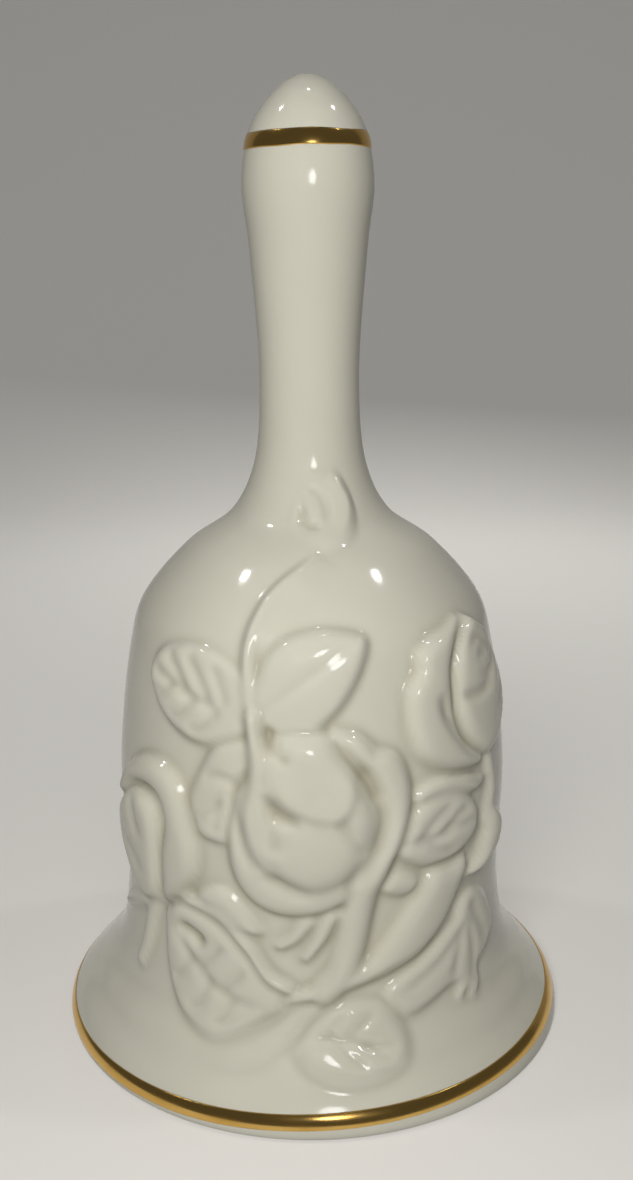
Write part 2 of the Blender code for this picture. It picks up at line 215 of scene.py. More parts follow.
@dataclass(frozen=True)
class PorcelainGlaze:
    """Clear feldspar glaze over an ivory porcelain body, dipped and fired to a high gloss."""

    name: str = "glazed_porcelain"
    light: str = "#DEDBCB"
    warm: str = "#D5D1BE"
    # Crease colour: pooled glaze, made darker still as painted shade.
    pooled_and_shaded: str = "#8F8768"
    pooling_and_shade: float = 0.6
    drift_mm: float = 26.0
    drift_detail: float = 3.0
    ripple_mm: float = 5.0
    ripple_detail: float = 1.0
    ripple_depth_mm: float = 0.010
    ripple_strength: float = 1.0
    roughness: float = 0.10
    ior: float = 1.52
    translucency: float = 0.12
    inner_tint: tuple[float, float, float] = (1.0, 0.85, 0.6)
    inner_mm: float = 1.2

    def make(self) -> Material:
        """Makes the glaze, whose colour deepens in the creases, partly as pooled glaze and partly as painted
        shade.

        Returns:
            The new material.
        """
        material, tree, shader = new_material(self.name)
        coords = own_coords(tree)
        drift = noise(tree, coords, self.drift_mm, self.drift_detail)
        body = blend(tree, linear(self.light), linear(self.warm), drift)
        # The creases darken towards the crease colour: partly pooled glaze, partly painted shade.
        pool_and_shade = add_node(tree, "ShaderNodeAttribute", {}, {}, attribute_name="pool_and_shade").outputs["Fac"]
        depth = add_node(tree, "ShaderNodeMapRange", {"To Max": self.pooling_and_shade}, {"Value": pool_and_shade})
        glazed = add_node(
            tree,
            "ShaderNodeMix",
            {"B": linear(self.pooled_and_shaded)},
            {"Factor": depth.outputs["Result"], "A": body},
            data_type="RGBA",
        )
        ripple = noise(tree, coords, self.ripple_mm, self.ripple_detail)
        normal = bumps(tree, ripple, self.ripple_depth_mm, self.ripple_strength)
        tree.links.new(glazed.outputs["Result"], shader.inputs["Base Color"])
        tree.links.new(normal, shader.inputs["Normal"])
        shader.inputs["Roughness"].default_value = self.roughness
        shader.inputs["IOR"].default_value = self.ior
        shader.inputs["Subsurface Weight"].default_value = self.translucency
        shader.inputs["Subsurface Radius"].default_value = self.inner_tint
        shader.inputs["Subsurface Scale"].default_value = self.inner_mm * MM
        return material


@dataclass(frozen=True)
class GritFinish:
    """A dull mineral surface: unglazed porcelain or set cement, with a fine grit."""

    name: str
    light: str
    dark: str
    grit_mm: float
    depth_mm: float
    roughness: float
    detail: float = 4.0
    strength: float = 0.8

    def make(self) -> Material:
        """Makes the gritty surface.

        Returns:
            The new material.
        """
        material, tree, shader = new_material(self.name)
        grit = noise(tree, own_coords(tree), self.grit_mm, self.detail)
        tone = blend(tree, linear(self.light), linear(self.dark), grit)
        tree.links.new(tone, shader.inputs["Base Color"])
        tree.links.new(bumps(tree, grit, self.depth_mm, self.strength), shader.inputs["Normal"])
        shader.inputs["Roughness"].default_value = self.roughness
        return material


@dataclass(frozen=True)
class MetalFinish:
    """A bright metal whose colour and gloss drift, as brushed-on gold and handled brass do."""

    name: str
    light: str
    dark: str
    drift_mm: float
    squash: float
    smooth: float
    rough: float
    detail: float = 4.0
    smooth_below: float = 0.3
    rough_above: float = 0.7

    def make(self) -> Material:
        """Makes the metal, with streaks that its squash draws out along or across the piece.

        Returns:
            The new material.
        """
        material, tree, shader = new_material(self.name)
        scale = {"Scale": (1.0, 1.0, self.squash)}
        drawn = add_node(tree, "ShaderNodeMapping", scale, {"Vector": own_coords(tree)})
        drift = noise(tree, drawn.outputs["Vector"], self.drift_mm, self.detail)
        tone = blend(tree, linear(self.light), linear(self.dark), drift)
        gloss = add_node(
            tree,
            "ShaderNodeMapRange",
            {
                "From Min": self.smooth_below,
                "From Max": self.rough_above,
                "To Min": self.smooth,
                "To Max": self.rough,
            },
            {"Value": drift},
        )
        tree.links.new(tone, shader.inputs["Base Color"])
        tree.links.new(gloss.outputs["Result"], shader.inputs["Roughness"])
        shader.inputs["Metallic"].default_value = 1.0
        return material


GLAZE = PorcelainGlaze()
# Gold fired on the glaze is thin and mirror bright, with faint brush streaks along the line.
GILDING = MetalFinish("fired_gilding", "#E4BE70", "#D0A350", 6.0, 5.0, 0.15, 0.25)
# Drawn brass wire has dulled in the hand and in the air.
BRASS = MetalFinish("drawn_brass_wire", "#C9A45C", "#9C7A3C", 3.0, 0.4, 0.26, 0.42)
# The lip was wiped clean of glaze to stand in the kiln, so it is dry and pale.
BISQUE = GritFinish("wiped_bisque_lip", "#DDD6C6", "#CBC2AE", 0.5, 0.02, 0.75)
# Potter's cement was poured in the neck and set rough.
CEMENT = GritFinish("set_cement", "#CFC6B2", "#A79D88", 0.9, 0.08, 0.90)


def smooth_path(points: np.ndarray, closed: bool, steps: int = 6) -> np.ndarray:
    """Rounds a run of points into a smooth path through them.

    Args:
        points: two columns of coordinates.
        closed: whether the path returns to its start.
        steps: new points for each old one.

    Returns:
        The denser path.
    """
    count = len(points)
    spans = count if closed else count - 1
    made = []
    for i in range(spans):
        near = [i - 1, i, i + 1, i + 2]
        keep = [n % count for n in near] if closed else [min(max(n, 0), count - 1) for n in near]
        a, b, c, d = (points[k] for k in keep)
        for step in range(steps):
            t = step / steps
            bend = 2 * b + (c - a) * t + (2 * a - 5 * b + 4 * c - d) * t ** 2
            made.append(0.5 * (bend + (3 * b - a - 3 * c + d) * t ** 3))
    if not closed:
        made.append(points[-1])
    return np.array(made)


def path_gap(spots: np.ndarray, path: np.ndarray, closed: bool) -> tuple[np.ndarray, np.ndarray]:
    """Measures how far spots lie from a path.

    Args:
        spots: one row per spot.
        path: one row per path point.
        closed: whether the path returns to its start.

    Returns:
        Each spot's distance, and its share of the way along the path.
    """
    ends = np.roll(path, -1, axis=0) if closed else path[1:]
    starts = path if closed else path[:-1]
    best = np.full(len(spots), np.inf)
    share = np.zeros(len(spots))
    for i, (start, end) in enumerate(zip(starts, ends)):
        run = end - start
        t = np.clip((spots - start) @ run / max(run @ run, TINY), 0.0, 1.0)
        gap = np.linalg.norm(spots - start - t[:, None] * run, axis=1)
        nearer = gap < best
        best[nearer] = gap[nearer]
        share[nearer] = (i + t[nearer]) / len(starts)
    return best, share


def inside_path(spots: np.ndarray, path: np.ndarray) -> np.ndarray:
    """Tells which spots lie inside a closed path.

    Args:
        spots: one row per spot.
        path: one row per path point.

    Returns:
        True for each spot inside.
    """
    within = np.zeros(len(spots), dtype=bool)
    for start, end in zip(path, np.roll(path, -1, axis=0)):
        spans = (start[1] > spots[:, 1]) != (end[1] > spots[:, 1])
        rise = end[1] - start[1]
        if rise == 0:
            continue
        cross = start[0] + (spots[:, 1] - start[1]) / rise * (end[0] - start[0])
        within ^= spans & (spots[:, 0] < cross)
    return within


def faded(share: np.ndarray, start: float) -> np.ndarray:
    """Fades a line in at its start and out at its end.

    Args:
        share: each spot's share of the way along the line.
        start: the strength at the very start.

    Returns:
        The line's strength at each spot, from 0 to 1.
    """
    return np.clip(start + END_PACE * share, 0.0, 1.0) * np.clip(END_PACE * (1 - share), 0.0, 1.0)


@dataclass
class Outline:
    """The turned outline of the shell in millimetres, from the lip to the tip."""

    stations: tuple[tuple[float, float], ...] = (
        (41.6, 0.6), (36.9, 7.6), (33.0, 12.8), (31.0, 23.6), (31.4, 44.6), (28.9, 64.6),
        (27.1, 70.6), (19.9, 79.1), (12.4, 84.6), (8.9, 91.6), (7.7, 104.6), (9.0, 125.1),
        (9.9, 134.6), (7.6, 143.4), (0.0, 149.0),
    )
    fineness: int = 60
    radii: np.ndarray = field(init=False)
    heights: np.ndarray = field(init=False)
    runs: np.ndarray = field(init=False)
    outward: np.ndarray = field(init=False)
    upward: np.ndarray = field(init=False)

    def __post_init__(self) -> None:
        """Works out the dense curve through the stations, and which way it faces."""
        points = np.array(self.stations)
        steps = np.sqrt(np.linalg.norm(np.diff(points, axis=0), axis=1))
        pace = np.diff(points, axis=0) / steps[:, None]
        slopes = np.zeros_like(points)
        across = (points[2:] - points[:-2]) / (steps[1:] + steps[:-1])[:, None]
        slopes[1:-1] = pace[:-1] - across + pace[1:]
        slopes[0] = (0.0, np.linalg.norm(pace[0]))
        slopes[-1] = (-np.linalg.norm(pace[-1]), 0.0)
        curve = []
        for i, span in enumerate(steps):
            for t in np.arange(self.fineness) / self.fineness:
                first = 2 * t ** 3 - 3 * t ** 2 + 1
                start_pull = (t ** 3 - 2 * t ** 2 + t) * span
                end_pull = (t ** 3 - t ** 2) * span
                point = points[i] * first + points[i + 1] * (1 - first)
                curve.append(point + slopes[i] * start_pull + slopes[i + 1] * end_pull)
        curve.append(points[-1])
        dense = np.array(curve)
        self.radii = dense[:, 0]
        self.heights = dense[:, 1]
        lengths = np.linalg.norm(np.diff(dense, axis=0), axis=1)
        self.runs = np.concatenate([[0.0], np.cumsum(lengths)])
        rise = np.gradient(self.heights, self.runs)
        reach = -np.gradient(self.radii, self.runs)
        self.outward = rise / np.hypot(rise, reach)
        self.upward = reach / np.hypot(rise, reach)

    @property
    def lip(self) -> tuple[float, float]:
        """The radius and height of the lip's widest ring."""
        return self.stations[0]

    def along(self, height: np.ndarray | float) -> np.ndarray | float:
        """Returns the distance up the outline at a height."""
        return np.interp(height, self.heights, self.runs)

    def radius(self, height: np.ndarray | float) -> np.ndarray | float:
        """Returns the outer radius at a height."""
        return np.interp(height, self.heights, self.radii)

    def point(self, run: np.ndarray | float) -> tuple[np.ndarray, np.ndarray]:
        """Returns the radius and height at a distance up the outline."""
        return np.interp(run, self.runs, self.radii), np.interp(run, self.runs, self.heights)

    def facing(self, run: np.ndarray | float) -> tuple[np.ndarray, np.ndarray]:
        """Returns the radial and upward parts of the outward normal at a distance up."""
        return np.interp(run, self.runs, self.outward), np.interp(run, self.runs, self.upward)

    def offset(self, run: np.ndarray | float, by: float) -> tuple[np.ndarray, np.ndarray]:
        """Finds a point that stands off the outline.

        Args:
            run: the distance up the outline.
            by: how far out it stands.

        Returns:
            Its radius and height.
        """
        radius, height = self.point(run)
        outward, upward = self.facing(run)
        return radius + outward * by, height + upward * by


@dataclass
class Sheet:
    """The relief laid flat: heights over half a turn of the shell, repeated behind."""

    outline: Outline
    turn_step: float = 0.35
    rise_step: float = 0.22
    low: float = 3.0
    high: float = 99.0
    turns: np.ndarray = field(init=False)
    rises: np.ndarray = field(init=False)
    heights: np.ndarray = field(init=False)
    pools_and_shade: np.ndarray = field(init=False)

    def __post_init__(self) -> None:
        """Lays out an empty sheet."""
        low, high = self.outline.along(self.low), self.outline.along(self.high)
        self.turns = np.arange(-0.5 * HALF_TURN, 0.5 * HALF_TURN, self.turn_step)
        self.rises = np.arange(low, high, self.rise_step)
        self.heights = np.zeros((len(self.rises), len(self.turns)))
        self.pools_and_shade = np.zeros_like(self.heights)

    def flatten(self, places: Places, radius: float) -> np.ndarray:
        """Lays places out flat.

        Args:
            places: the places on the shell.
            radius: the radius that they are laid out at.

        Returns:
            One row per place, in millimetres across and up.
        """
        points = np.array(places, dtype=float)
        rises = self.outline.along(points[:, 1] + self.outline.lip[1])
        return np.column_stack([np.radians(points[:, 0]) * radius, rises])

    def patch(self, places: Places, closed: bool, margin: float) -> "Patch":
        """Picks the part of the sheet around a path.

        Args:
            places: the places that the path goes through.
            closed: whether it returns to its start.
            margin: how far past the path to look.

        Returns:
            The patch, with each spot measured from the path.
        """
        middle = np.mean([spot[1] for spot in places])
        radius = float(self.outline.radius(middle + self.outline.lip[1]))
        path = smooth_path(self.flatten(places, radius), closed)
        flat = np.radians(self.turns) * radius
        low = path.min(axis=0) - margin
        high = path.max(axis=0) + margin
        columns = slice(*np.searchsorted(flat, (low[0], high[0])))
        rows = slice(*np.searchsorted(self.rises, (low[1], high[1])))
        wide, tall = np.meshgrid(flat[columns], self.rises[rows])
        spots = np.column_stack([wide.ravel(), tall.ravel()])
        return Patch(self, (rows, columns), radius, path, spots, *path_gap(spots, path, closed))

    def blurred(self, heights: np.ndarray, spread: float) -> np.ndarray:
        """Softens heights.

        Args:
            heights: the heights over the whole sheet.
            spread: how far they are softened, in millimetres.

        Returns:
            The softened heights.
        """
        made = heights
        turn_step = math.radians(self.turn_step) * self.outline.stations[BELLY][0]
        for axis, step in ((0, self.rise_step), (1, turn_step)):
            reach = max(int(REACH * spread / step), 1)
            offsets = np.arange(-reach, reach + 1)
            weights = np.exp(-0.5 * (offsets * step / spread) ** 2)
            weights /= weights.sum()
            made = sum(w * np.roll(made, o, axis=axis) for w, o in zip(weights, offsets))
        return made

    def fire(self, softness: float, pool_and_shade_spread: float, pool_and_shade_depth: float) -> None:
        """Softens the relief as glaze does and finds the creases, which darken with pooled glaze and painted
        shade.

        Args:
            softness: how far the glaze rounds an edge, in millimetres.
            pool_and_shade_spread: how wide a crease gathers glaze and painted shade, in millimetres.
            pool_and_shade_depth: the crease depth at which the pooled glaze and painted shade reach full
                strength, in millimetres.
        """
        sharp = self.heights
        self.heights = self.blurred(sharp, softness)
        # A crease below its blurred surroundings gets pooled glaze colour and painted shade.
        hollow = self.blurred(sharp, pool_and_shade_spread) - self.heights
        self.pools_and_shade = np.clip(hollow / pool_and_shade_depth, 0.0, 1.0)

    def sample(self, turns: np.ndarray, rises: np.ndarray) -> tuple[np.ndarray, np.ndarray]:
        """Reads the sheet at places on the shell.

        Args:
            turns: angles in degrees.
            rises: distances up the outline.

        Returns:
            Relief height, and the glaze pooling with painted shade, at each place.
        """
        column = ((turns + 0.5 * HALF_TURN) % HALF_TURN) / self.turn_step
        row = np.clip((rises - self.rises[0]) / self.rise_step, 0, len(self.rises) - TOP_KEEP)
        left = column.astype(int) % len(self.turns)
        right = (left + 1) % len(self.turns)
        across = column - column.astype(int)
        below = row.astype(int)
        up = row - below
        read = []
        for grid in (self.heights, self.pools_and_shade):
            lower = grid[below, left] * (1 - across) + grid[below, right] * across
            upper = grid[below + 1, left] * (1 - across) + grid[below + 1, right] * across
            read.append(lower * (1 - up) + upper * up)
        return read[0], read[1]


@dataclass
class Patch:
    """The part of a sheet around a path, with each spot's distance from it and share along it."""

    sheet: Sheet
    window: tuple[slice, slice]
    radius: float
    path: np.ndarray
    spots: np.ndarray
    gap: np.ndarray
    share: np.ndarray

    @property
    def under(self) -> np.ndarray:
        """What lies there, one height for each spot."""
        return self.sheet.heights[self.window].ravel()

    def put(self, heights: np.ndarray) -> None:
        """Writes a new height for each spot."""
        self.sheet.heights[self.window] = heights.reshape(self.sheet.heights[self.window].shape)

    def measure(self, places: Places) -> tuple[np.ndarray, np.ndarray]:
        """Returns each spot's distance from another line, and its share of the way along it."""
        line = smooth_path(self.sheet.flatten(places, self.radius), False)
        return path_gap(self.spots, line, False)

    def undercut(self, cut: float, gap: np.ndarray, width: float) -> np.ndarray:
        """Cuts a narrow crease into what lies beside an edge.

        Args:
            cut: the crease's depth.
            gap: each spot's distance from the edge.
            width: the crease's width.

        Returns:
            The height that is left at each spot.
        """
        under = self.under
        return under - cut * np.exp(-(gap / width) ** 2) * np.clip(under / FULL_CUT, 0.0, 1.0)


@dataclass(frozen=True)
class Groove:
    """A carved line, either in one leaf or petal or across what lies on the sheet."""

    path: Places
    depth: float = 0.35
    width: float = 0.7
    start: float = 0.35

    def depth_at(self, gap: np.ndarray, share: np.ndarray) -> np.ndarray:
        """Returns the carving, which deepens from its start and fades out at its end."""
        return self.depth * np.exp(-(gap / self.width) ** 2) * faded(share, self.start)

    def lay(self, sheet: Sheet) -> None:
        """Carves the line into what lies on the sheet."""
        patch = sheet.patch(self.path, False, REACH * self.width)
        patch.put(patch.under - self.depth_at(patch.gap, patch.share))


@dataclass(frozen=True)
class Blade:
    """A raised leaf, petal or sepal with a rounded edge, its crown and its carved lines."""

    rim: Places
    height: float
    edge: float = 1.0
    crown: float = 0.4
    tilt: tuple[float, float] = (0.0, 0.0)
    cut: float = 0.5
    roundness: float = 0.5
    grooves: tuple[Groove, ...] = ()
    crown_reach: float = 2.5
    crease: float = 0.55
    margin: float = 2.0

    def lay(self, sheet: Sheet) -> None:
        """Adds the blade over what lies on the sheet.

        Args:
            sheet: the sheet that takes it.
        """
        patch = sheet.patch(self.rim, True, self.margin)
        share = np.clip(patch.gap / self.edge, 0.0, 1.0)
        top = self.height * (1 - (1 - share) ** 2) ** self.roundness
        top += self.crown * (1 - np.exp(-patch.gap / self.crown_reach))
        lean = (patch.spots - patch.path.mean(axis=0)) @ np.array(self.tilt)
        top += lean * share
        for groove in self.grooves:
            top -= groove.depth_at(*patch.measure(groove.path)) * share
        carved = patch.undercut(self.cut, patch.gap, self.crease)
        within = inside_path(patch.spots, patch.path)
        patch.put(np.where(within, np.maximum(carved, top), carved))


@dataclass(frozen=True)
class Stem:
    """A raised round stem that may taper."""

    path: Places
    start_width: float
    end_width: float
    height: float
    cut: float = 0.4
    start_share: float = 1.0
    swell_pace: float = 1.5
    crease: float = 0.5
    margin: float = 1.5

    def lay(self, sheet: Sheet) -> None:
        """Adds the stem over what lies on the sheet.

        Args:
            sheet: the sheet that takes it.
        """
        patch = sheet.patch(self.path, False, max(self.start_width, self.end_width) + self.margin)
        half = 0.5 * (self.start_width + (self.end_width - self.start_width) * patch.share)
        crest = self.height * np.clip(self.start_share + self.swell_pace * patch.share, 0.0, 1.0)
        top = crest * np.sqrt(np.clip(1 - (patch.gap / half) ** 2, 0.0, 1.0))
        beside = np.clip(patch.gap - half, 0.0, None)
        carved = patch.undercut(self.cut, beside, self.crease)
        patch.put(np.where(patch.gap < half, np.maximum(patch.under, top), carved))


@dataclass(frozen=True)
class Fold:
    """A crease with a soft swell on its right-hand side, seen along the path."""

    path: Places
    height: float
    spread: float
    edge: float = 0.8

    def lay(self, sheet: Sheet) -> None:
        """Adds the swell to what lies on the sheet, fading it out at both ends.

        Args:
            sheet: the sheet that takes it.
        """
        patch = sheet.patch(self.path, False, REACH * self.spread)
        line = patch.path
        nearest = np.clip(np.rint(patch.share * (len(line) - 1)).astype(int), 0, len(line) - 2)
        ahead = line[nearest + 1] - line[nearest]
        away = patch.spots - line[nearest]
        right = ahead[:, 1] * away[:, 0] - ahead[:, 0] * away[:, 1] > 0
        swell = np.exp(-(patch.gap / self.spread) ** 2) * np.clip(patch.gap / self.edge, 0.0, 1.0)
        rise = np.where(right, self.height * swell * faded(patch.share, 0.0), 0.0)
        patch.put(patch.under + rise)


# The front spray, laid in this order, so what lies over another part of it comes after that part.
SPRAY: tuple[Blade | Stem | Fold | Groove, ...] = (
    # Stem that climbs the shoulder to the bud on the neck: one crease, then a long soft slope.
    Fold(
        ((-21, 67), (-21, 69.4), (-20, 72.4), (-17, 75.4), (-11.5, 77.6), (-4, 79.4), (4, 81)),
        1.2, 5.0,
    ),
    # Bud on the neck: it rises softly from the left to a steep right side, and has a small curl.
    Blade(
        ((4, 91.5), (25, 90.6), (37, 87.4), (31, 83.4), (18, 80.8), (5, 80.4), (-8, 81.8), (-18, 85),
         (-10, 89.4)),
        0.6, 4.0, 0.0, roundness=1.5,
    ),
    Fold(((20, 92), (31, 90.4), (38, 87.6), (37, 85), (30, 82.6), (18, 80.6)), 1.2, 3.2, 1.7),
    Groove(((-7, 86.4), (-5, 84.6), (0, 83.6), (7.5, 83.8)), 0.9, 0.7, 0.3),
    Groove(((-2, 88.8), (8, 87.8), (13, 85.8), (9, 83.8)), 0.5, 0.7),
    # Upper left leaf.
    Blade(
        ((-53, 64.6), (-50, 66.6), (-45, 67.8), (-38, 68.5), (-31, 68.3), (-25, 67.2), (-19, 65.2),
         (-15, 61.6), (-16, 58), (-20, 56.2), (-28, 54.7), (-35, 55), (-42, 56.5), (-48, 59), (-52, 62)),
        1.25, 1.5, 0.4, (-0.05, -0.03),
        grooves=(
            Groove(((-51, 64.6), (-42, 62.8), (-33, 61.2), (-24, 60)), 0.7, 0.75),
            Groove(((-36, 61.8), (-41, 65), (-46, 67.2)), 0.65, 0.75),
            Groove(((-28, 60.6), (-33, 64.6), (-38, 67.6)), 0.65, 0.75),
            Groove(((-23, 60.5), (-26, 64), (-29, 66.8)), 0.5, 0.75),
            Groove(((-41, 62.6), (-45, 61), (-49, 61)), 0.65, 0.7),
            Groove(((-33, 61.2), (-38, 58.6), (-43, 58)), 0.65, 0.7),
            Groove(((-25, 60.2), (-30, 57.4), (-35, 56.4)), 0.65, 0.7),
        ),
    ),
    # Upper right leaf.
    Blade(
        ((-16, 62.6), (-14.5, 66.2), (-12.4, 68.4), (-8, 70.4), (-1, 71.4), (7, 71.5), (13.4, 71),
         (17.2, 70.2), (16.4, 68.4), (13.6, 65.2), (10, 62.2), (6, 59.8), (1, 57.8), (-5, 57.4),
         (-11, 58), (-15, 60)),
        1.35, 1.5, 0.5, (0.03, -0.02),
        grooves=(
            Groove(((-13, 61), (-4, 64.4), (5, 67.6), (15, 70.4)), 0.3, 0.9),
        ),
    ),
    Stem(
        ((-9, 77.4), (-15, 74.2), (-18, 70), (-17.6, 65), (-16, 60.5), (-14, 55.5), (-12.6, 49)),
        0.8, 3.8, 1.5, 0.0,
    ),
    # Leaf at the left of the rose.
    Blade(
        ((-14, 56.5), (-21, 56.2), (-27, 54.6), (-31, 51), (-34.5, 46.5), (-35, 42.4), (-31, 40.8),
         (-24, 40.2), (-17, 41), (-12, 46), (-11, 52)),
        1.1, 1.4, 0.4, (-0.02, 0.02),
        grooves=(
            Groove(((-16, 52.4), (-22, 48.4), (-28, 44.6), (-34, 41.8)), 0.5, 0.7),
            Groove(((-20, 49.8), (-25, 50.8), (-30, 50)), 0.55, 0.7),
            Groove(((-24, 47), (-25, 44), (-26, 41.5)), 0.55, 0.7),
            Groove(((-19, 50), (-20, 46), (-20.5, 43)), 0.45, 0.7),
        ),
    ),
    # Soft stem low on the front, which runs into the crossing of the stems.
    Stem(((-25, 7.4), (-15, 8.6), (-8, 11), (-2, 14), (3, 17)), 3.0, 3.8, 0.8, 0.2, 0.1),
    # Stem and long sepal of the left bud.
    Stem(((-50, 28), (-52.5, 24), (-54.5, 19), (-57, 15)), 3.4, 2.4, 1.2),
    Stem(((-48, 28), (-58, 24.8), (-66, 22.8), (-73, 21)), 2.6, 1.2, 1.1),
    # Lower left leaf with its folded upper edge.
    Blade(
        ((-44.5, 28), (-45, 22), (-43, 16.5), (-38, 12.2), (-31, 10.2), (-25, 9.7), (-19, 10.8),
         (-13, 13), (-7, 15.4), (-9, 19), (-14, 22.5), (-19, 26), (-25, 28.6), (-33, 29.8), (-40, 30)),
        1.35, 1.5, 0.4, (-0.02, 0.02),
        grooves=(
            Groove(((-40, 24.5), (-33, 20), (-24, 16.2), (-12, 14.6)), 0.6, 0.8),
            Groove(((-34, 20.6), (-37, 17.6), (-41, 16.6)), 0.55, 0.7),
            Groove(((-28, 17.8), (-30, 14.4), (-34, 12.6)), 0.55, 0.7),
            Groove(((-21, 15.6), (-23, 12.8), (-26, 11.2)), 0.55, 0.7),
            Groove(((-31, 19), (-27, 21.4), (-24, 24)), 0.55, 0.7),
            Groove(((-24, 16.4), (-20, 18.4), (-17, 21)), 0.55, 0.7),
        ),
    ),
    Blade(
        ((-43, 27), (-40, 28.8), (-32, 28.6), (-25, 26.8), (-18, 23), (-12, 18.6), (-4, 16.8), (-5, 18.8),
         (-11, 21), (-17, 26), (-25, 30), (-34, 31), (-41, 30.4)),
        2.1, 1.7, 0.2, cut=0.9,
    ),
    Groove(((-38.5, 25.2), (-34.5, 24.6), (-29.5, 23.2)), 1.9, 0.9, 0.0),
    # Sepal between the left bud and the rose.
    Blade(
        ((-33, 31), (-29, 33), (-23, 33.2), (-17, 30.4), (-13, 26.8), (-17, 26), (-22, 27), (-28, 29.2)),
        1.5, 1.7, 0.3,
    ),
    # Jagged leaf at the lower right.
    Blade(
        ((43.2, 24), (37, 22), (30, 20), (23.8, 18.5), (19.2, 16.6), (20.6, 13.8), (25.5, 12.2),
         (32.5, 13), (39.5, 14.2), (42, 13.8), (41.6, 12.4), (43, 11.3), (45.2, 12.4), (47, 11),
         (49.4, 11.3), (51.6, 12.8), (52.4, 15.2), (58.5, 16.8), (63, 20), (60, 25), (52, 28.2),
         (45.6, 27)),
        1.15, 1.3, 0.4,
        grooves=(
            Groove(((47, 23.2), (38.5, 19.6), (29.8, 17.2), (22, 15.6)), 0.5, 0.8),
            Groove(((48.8, 22.8), (49.4, 17.6), (47.4, 12.8)), 0.5, 0.7),
            Groove(((46, 22), (42.8, 18.4), (40.6, 15.2)), 0.5, 0.7),
            Groove(((50, 26.6), (53.8, 21.5), (57.5, 18)), 0.6, 0.9),
        ),
    ),
    # Lower centre leaf.
    Blade(
        ((-5, 9.6), (-2, 12), (2, 14.6), (7, 16.2), (13, 16.4), (19, 15.4), (23, 13.2), (25, 10.4),
         (23.5, 7.5), (19, 5.9), (12, 5.2), (5, 5.5), (0, 6.5), (-3.5, 8)),
        1.15, 2.6, 0.3, (0.0, 0.04), roundness=1.4,
        grooves=(
            Groove(((-2, 11), (6, 11), (14, 9.8), (23, 9)), 0.7, 0.75),
            Groove(((3, 11), (6.5, 13.4), (9, 15)), 0.5, 0.7),
            Groove(((9, 10.8), (13, 13), (17, 14.4)), 0.5, 0.7),
            Groove(((5, 11), (9, 8.6), (13, 7)), 0.5, 0.7),
            Groove(((12, 10.2), (16, 8.4), (20, 7.6)), 0.5, 0.7),
        ),
    ),
    # Leaves at the right of the rose.
    Blade(
        ((27, 46), (30, 48.4), (38, 49.2), (46, 48.2), (52, 46.6), (57, 46), (50, 44.6), (36, 45.2)),
        1.5, 1.3, 0.2,
    ),
    Blade(
        ((21.5, 39.5), (24, 43), (28, 45.4), (33, 46.4), (40, 46.2), (46, 45), (50.5, 42.6), (51.5, 39.5),
         (48, 37), (41, 35.4), (33, 35.2), (27, 36.4)),
        1.35, 1.6, 0.4,
        grooves=(
            Groove(((24, 40), (34, 40.2), (42, 40.8), (51, 40.2)), 0.5, 0.7),
            Groove(((29, 40.2), (34, 43), (41, 44.8)), 0.5, 0.7),
            Groove(((36, 40.3), (42, 42.6), (47, 43)), 0.5, 0.7),
            Groove(((31, 40), (36, 37.8), (41, 36.8)), 0.5, 0.7),
        ),
    ),
    Blade(((17.5, 33.6), (22, 35.6), (27, 35.2), (32, 33.2), (28, 31.6), (22, 31.8)), 1.1, 1.3, 0.2),
    # Thick stem that sweeps up to the right.
    Blade(
        ((-8, 15.8), (4, 16.6), (12, 18), (20, 19.2), (30, 21.2), (38, 24.6), (43, 29), (47, 33.6),
         (46, 35.2), (40, 35), (33, 34.8), (28, 31.2), (22, 26.8), (16, 23), (9, 20.6), (-1, 18.8)),
        1.9, 2.6, 0.4, cut=0.9,
    ),
    Blade(
        ((47.5, 31), (52, 34), (55, 37.8), (58, 40.5), (62, 40.2), (65, 37.5), (64, 34), (59, 31.8),
         (53, 30.6)),
        2.0, 2.2, 0.5, cut=0.9,
    ),
    Stem(((57, 39), (60, 43), (59, 47), (57, 50)), 2.8, 2.6, 1.2),
    # Right bud: the curled heart, then the pointed petal that wraps it.
    Blade(
        ((42.6, 58), (43, 64), (46.6, 68.4), (54, 70.6), (60, 69.6), (66, 66.6), (70, 61.5), (70, 56.5),
         (66, 52.5), (60, 49.8), (53, 49.4), (47, 52.6)),
        2.0, 2.6, 0.5,
        grooves=(
            Groove(((44, 60.4), (49, 59.6), (55, 59.8), (60, 61)), 0.8, 0.9, 0.3),
            Groove(
                ((50, 66.4), (55, 67.4), (60.5, 66), (62, 63.4), (57.5, 61.8), (52.6, 62.8)),
                0.7, 0.8, 0.3,
            ),
            Groove(((53.5, 64.8), (57, 65.2), (58.6, 63.8)), 0.6, 0.7, 0.3),
            Groove(((63, 67), (66, 63), (65, 58), (60, 53.6)), 0.6, 0.9, 0.3),
        ),
    ),
    Blade(
        ((54, 70.8), (44.6, 70), (37, 69.2), (31.8, 67.6), (30.4, 65), (27.4, 62.8), (26.4, 60.4),
         (27, 56.4), (30, 52.4), (37, 49.8), (46.6, 48.6), (54.5, 49), (46.6, 53), (43.4, 56.4),
         (42.4, 59.8), (42.8, 64), (46.4, 67.6)),
        2.1, 2.2, 0.3, cut=1.1,
        grooves=(
            Groove(((36.4, 61.4), (40.2, 57.2), (45.4, 53.4), (51.5, 50)), 1.5, 1.1, 0.0),
        ),
    ),
    # Left bud: the heart, then the petal that arches over it.
    Blade(
        ((-66, 41), (-61, 44), (-52, 44.4), (-46, 41.6), (-45.6, 35), (-46, 29.5), (-51, 26.4),
         (-58, 27.2), (-64, 31), (-68, 36)),
        1.9, 2.0, 0.4,
        grooves=(
            Groove(((-57, 44), (-55, 40), (-52, 37)), 0.5, 0.9),
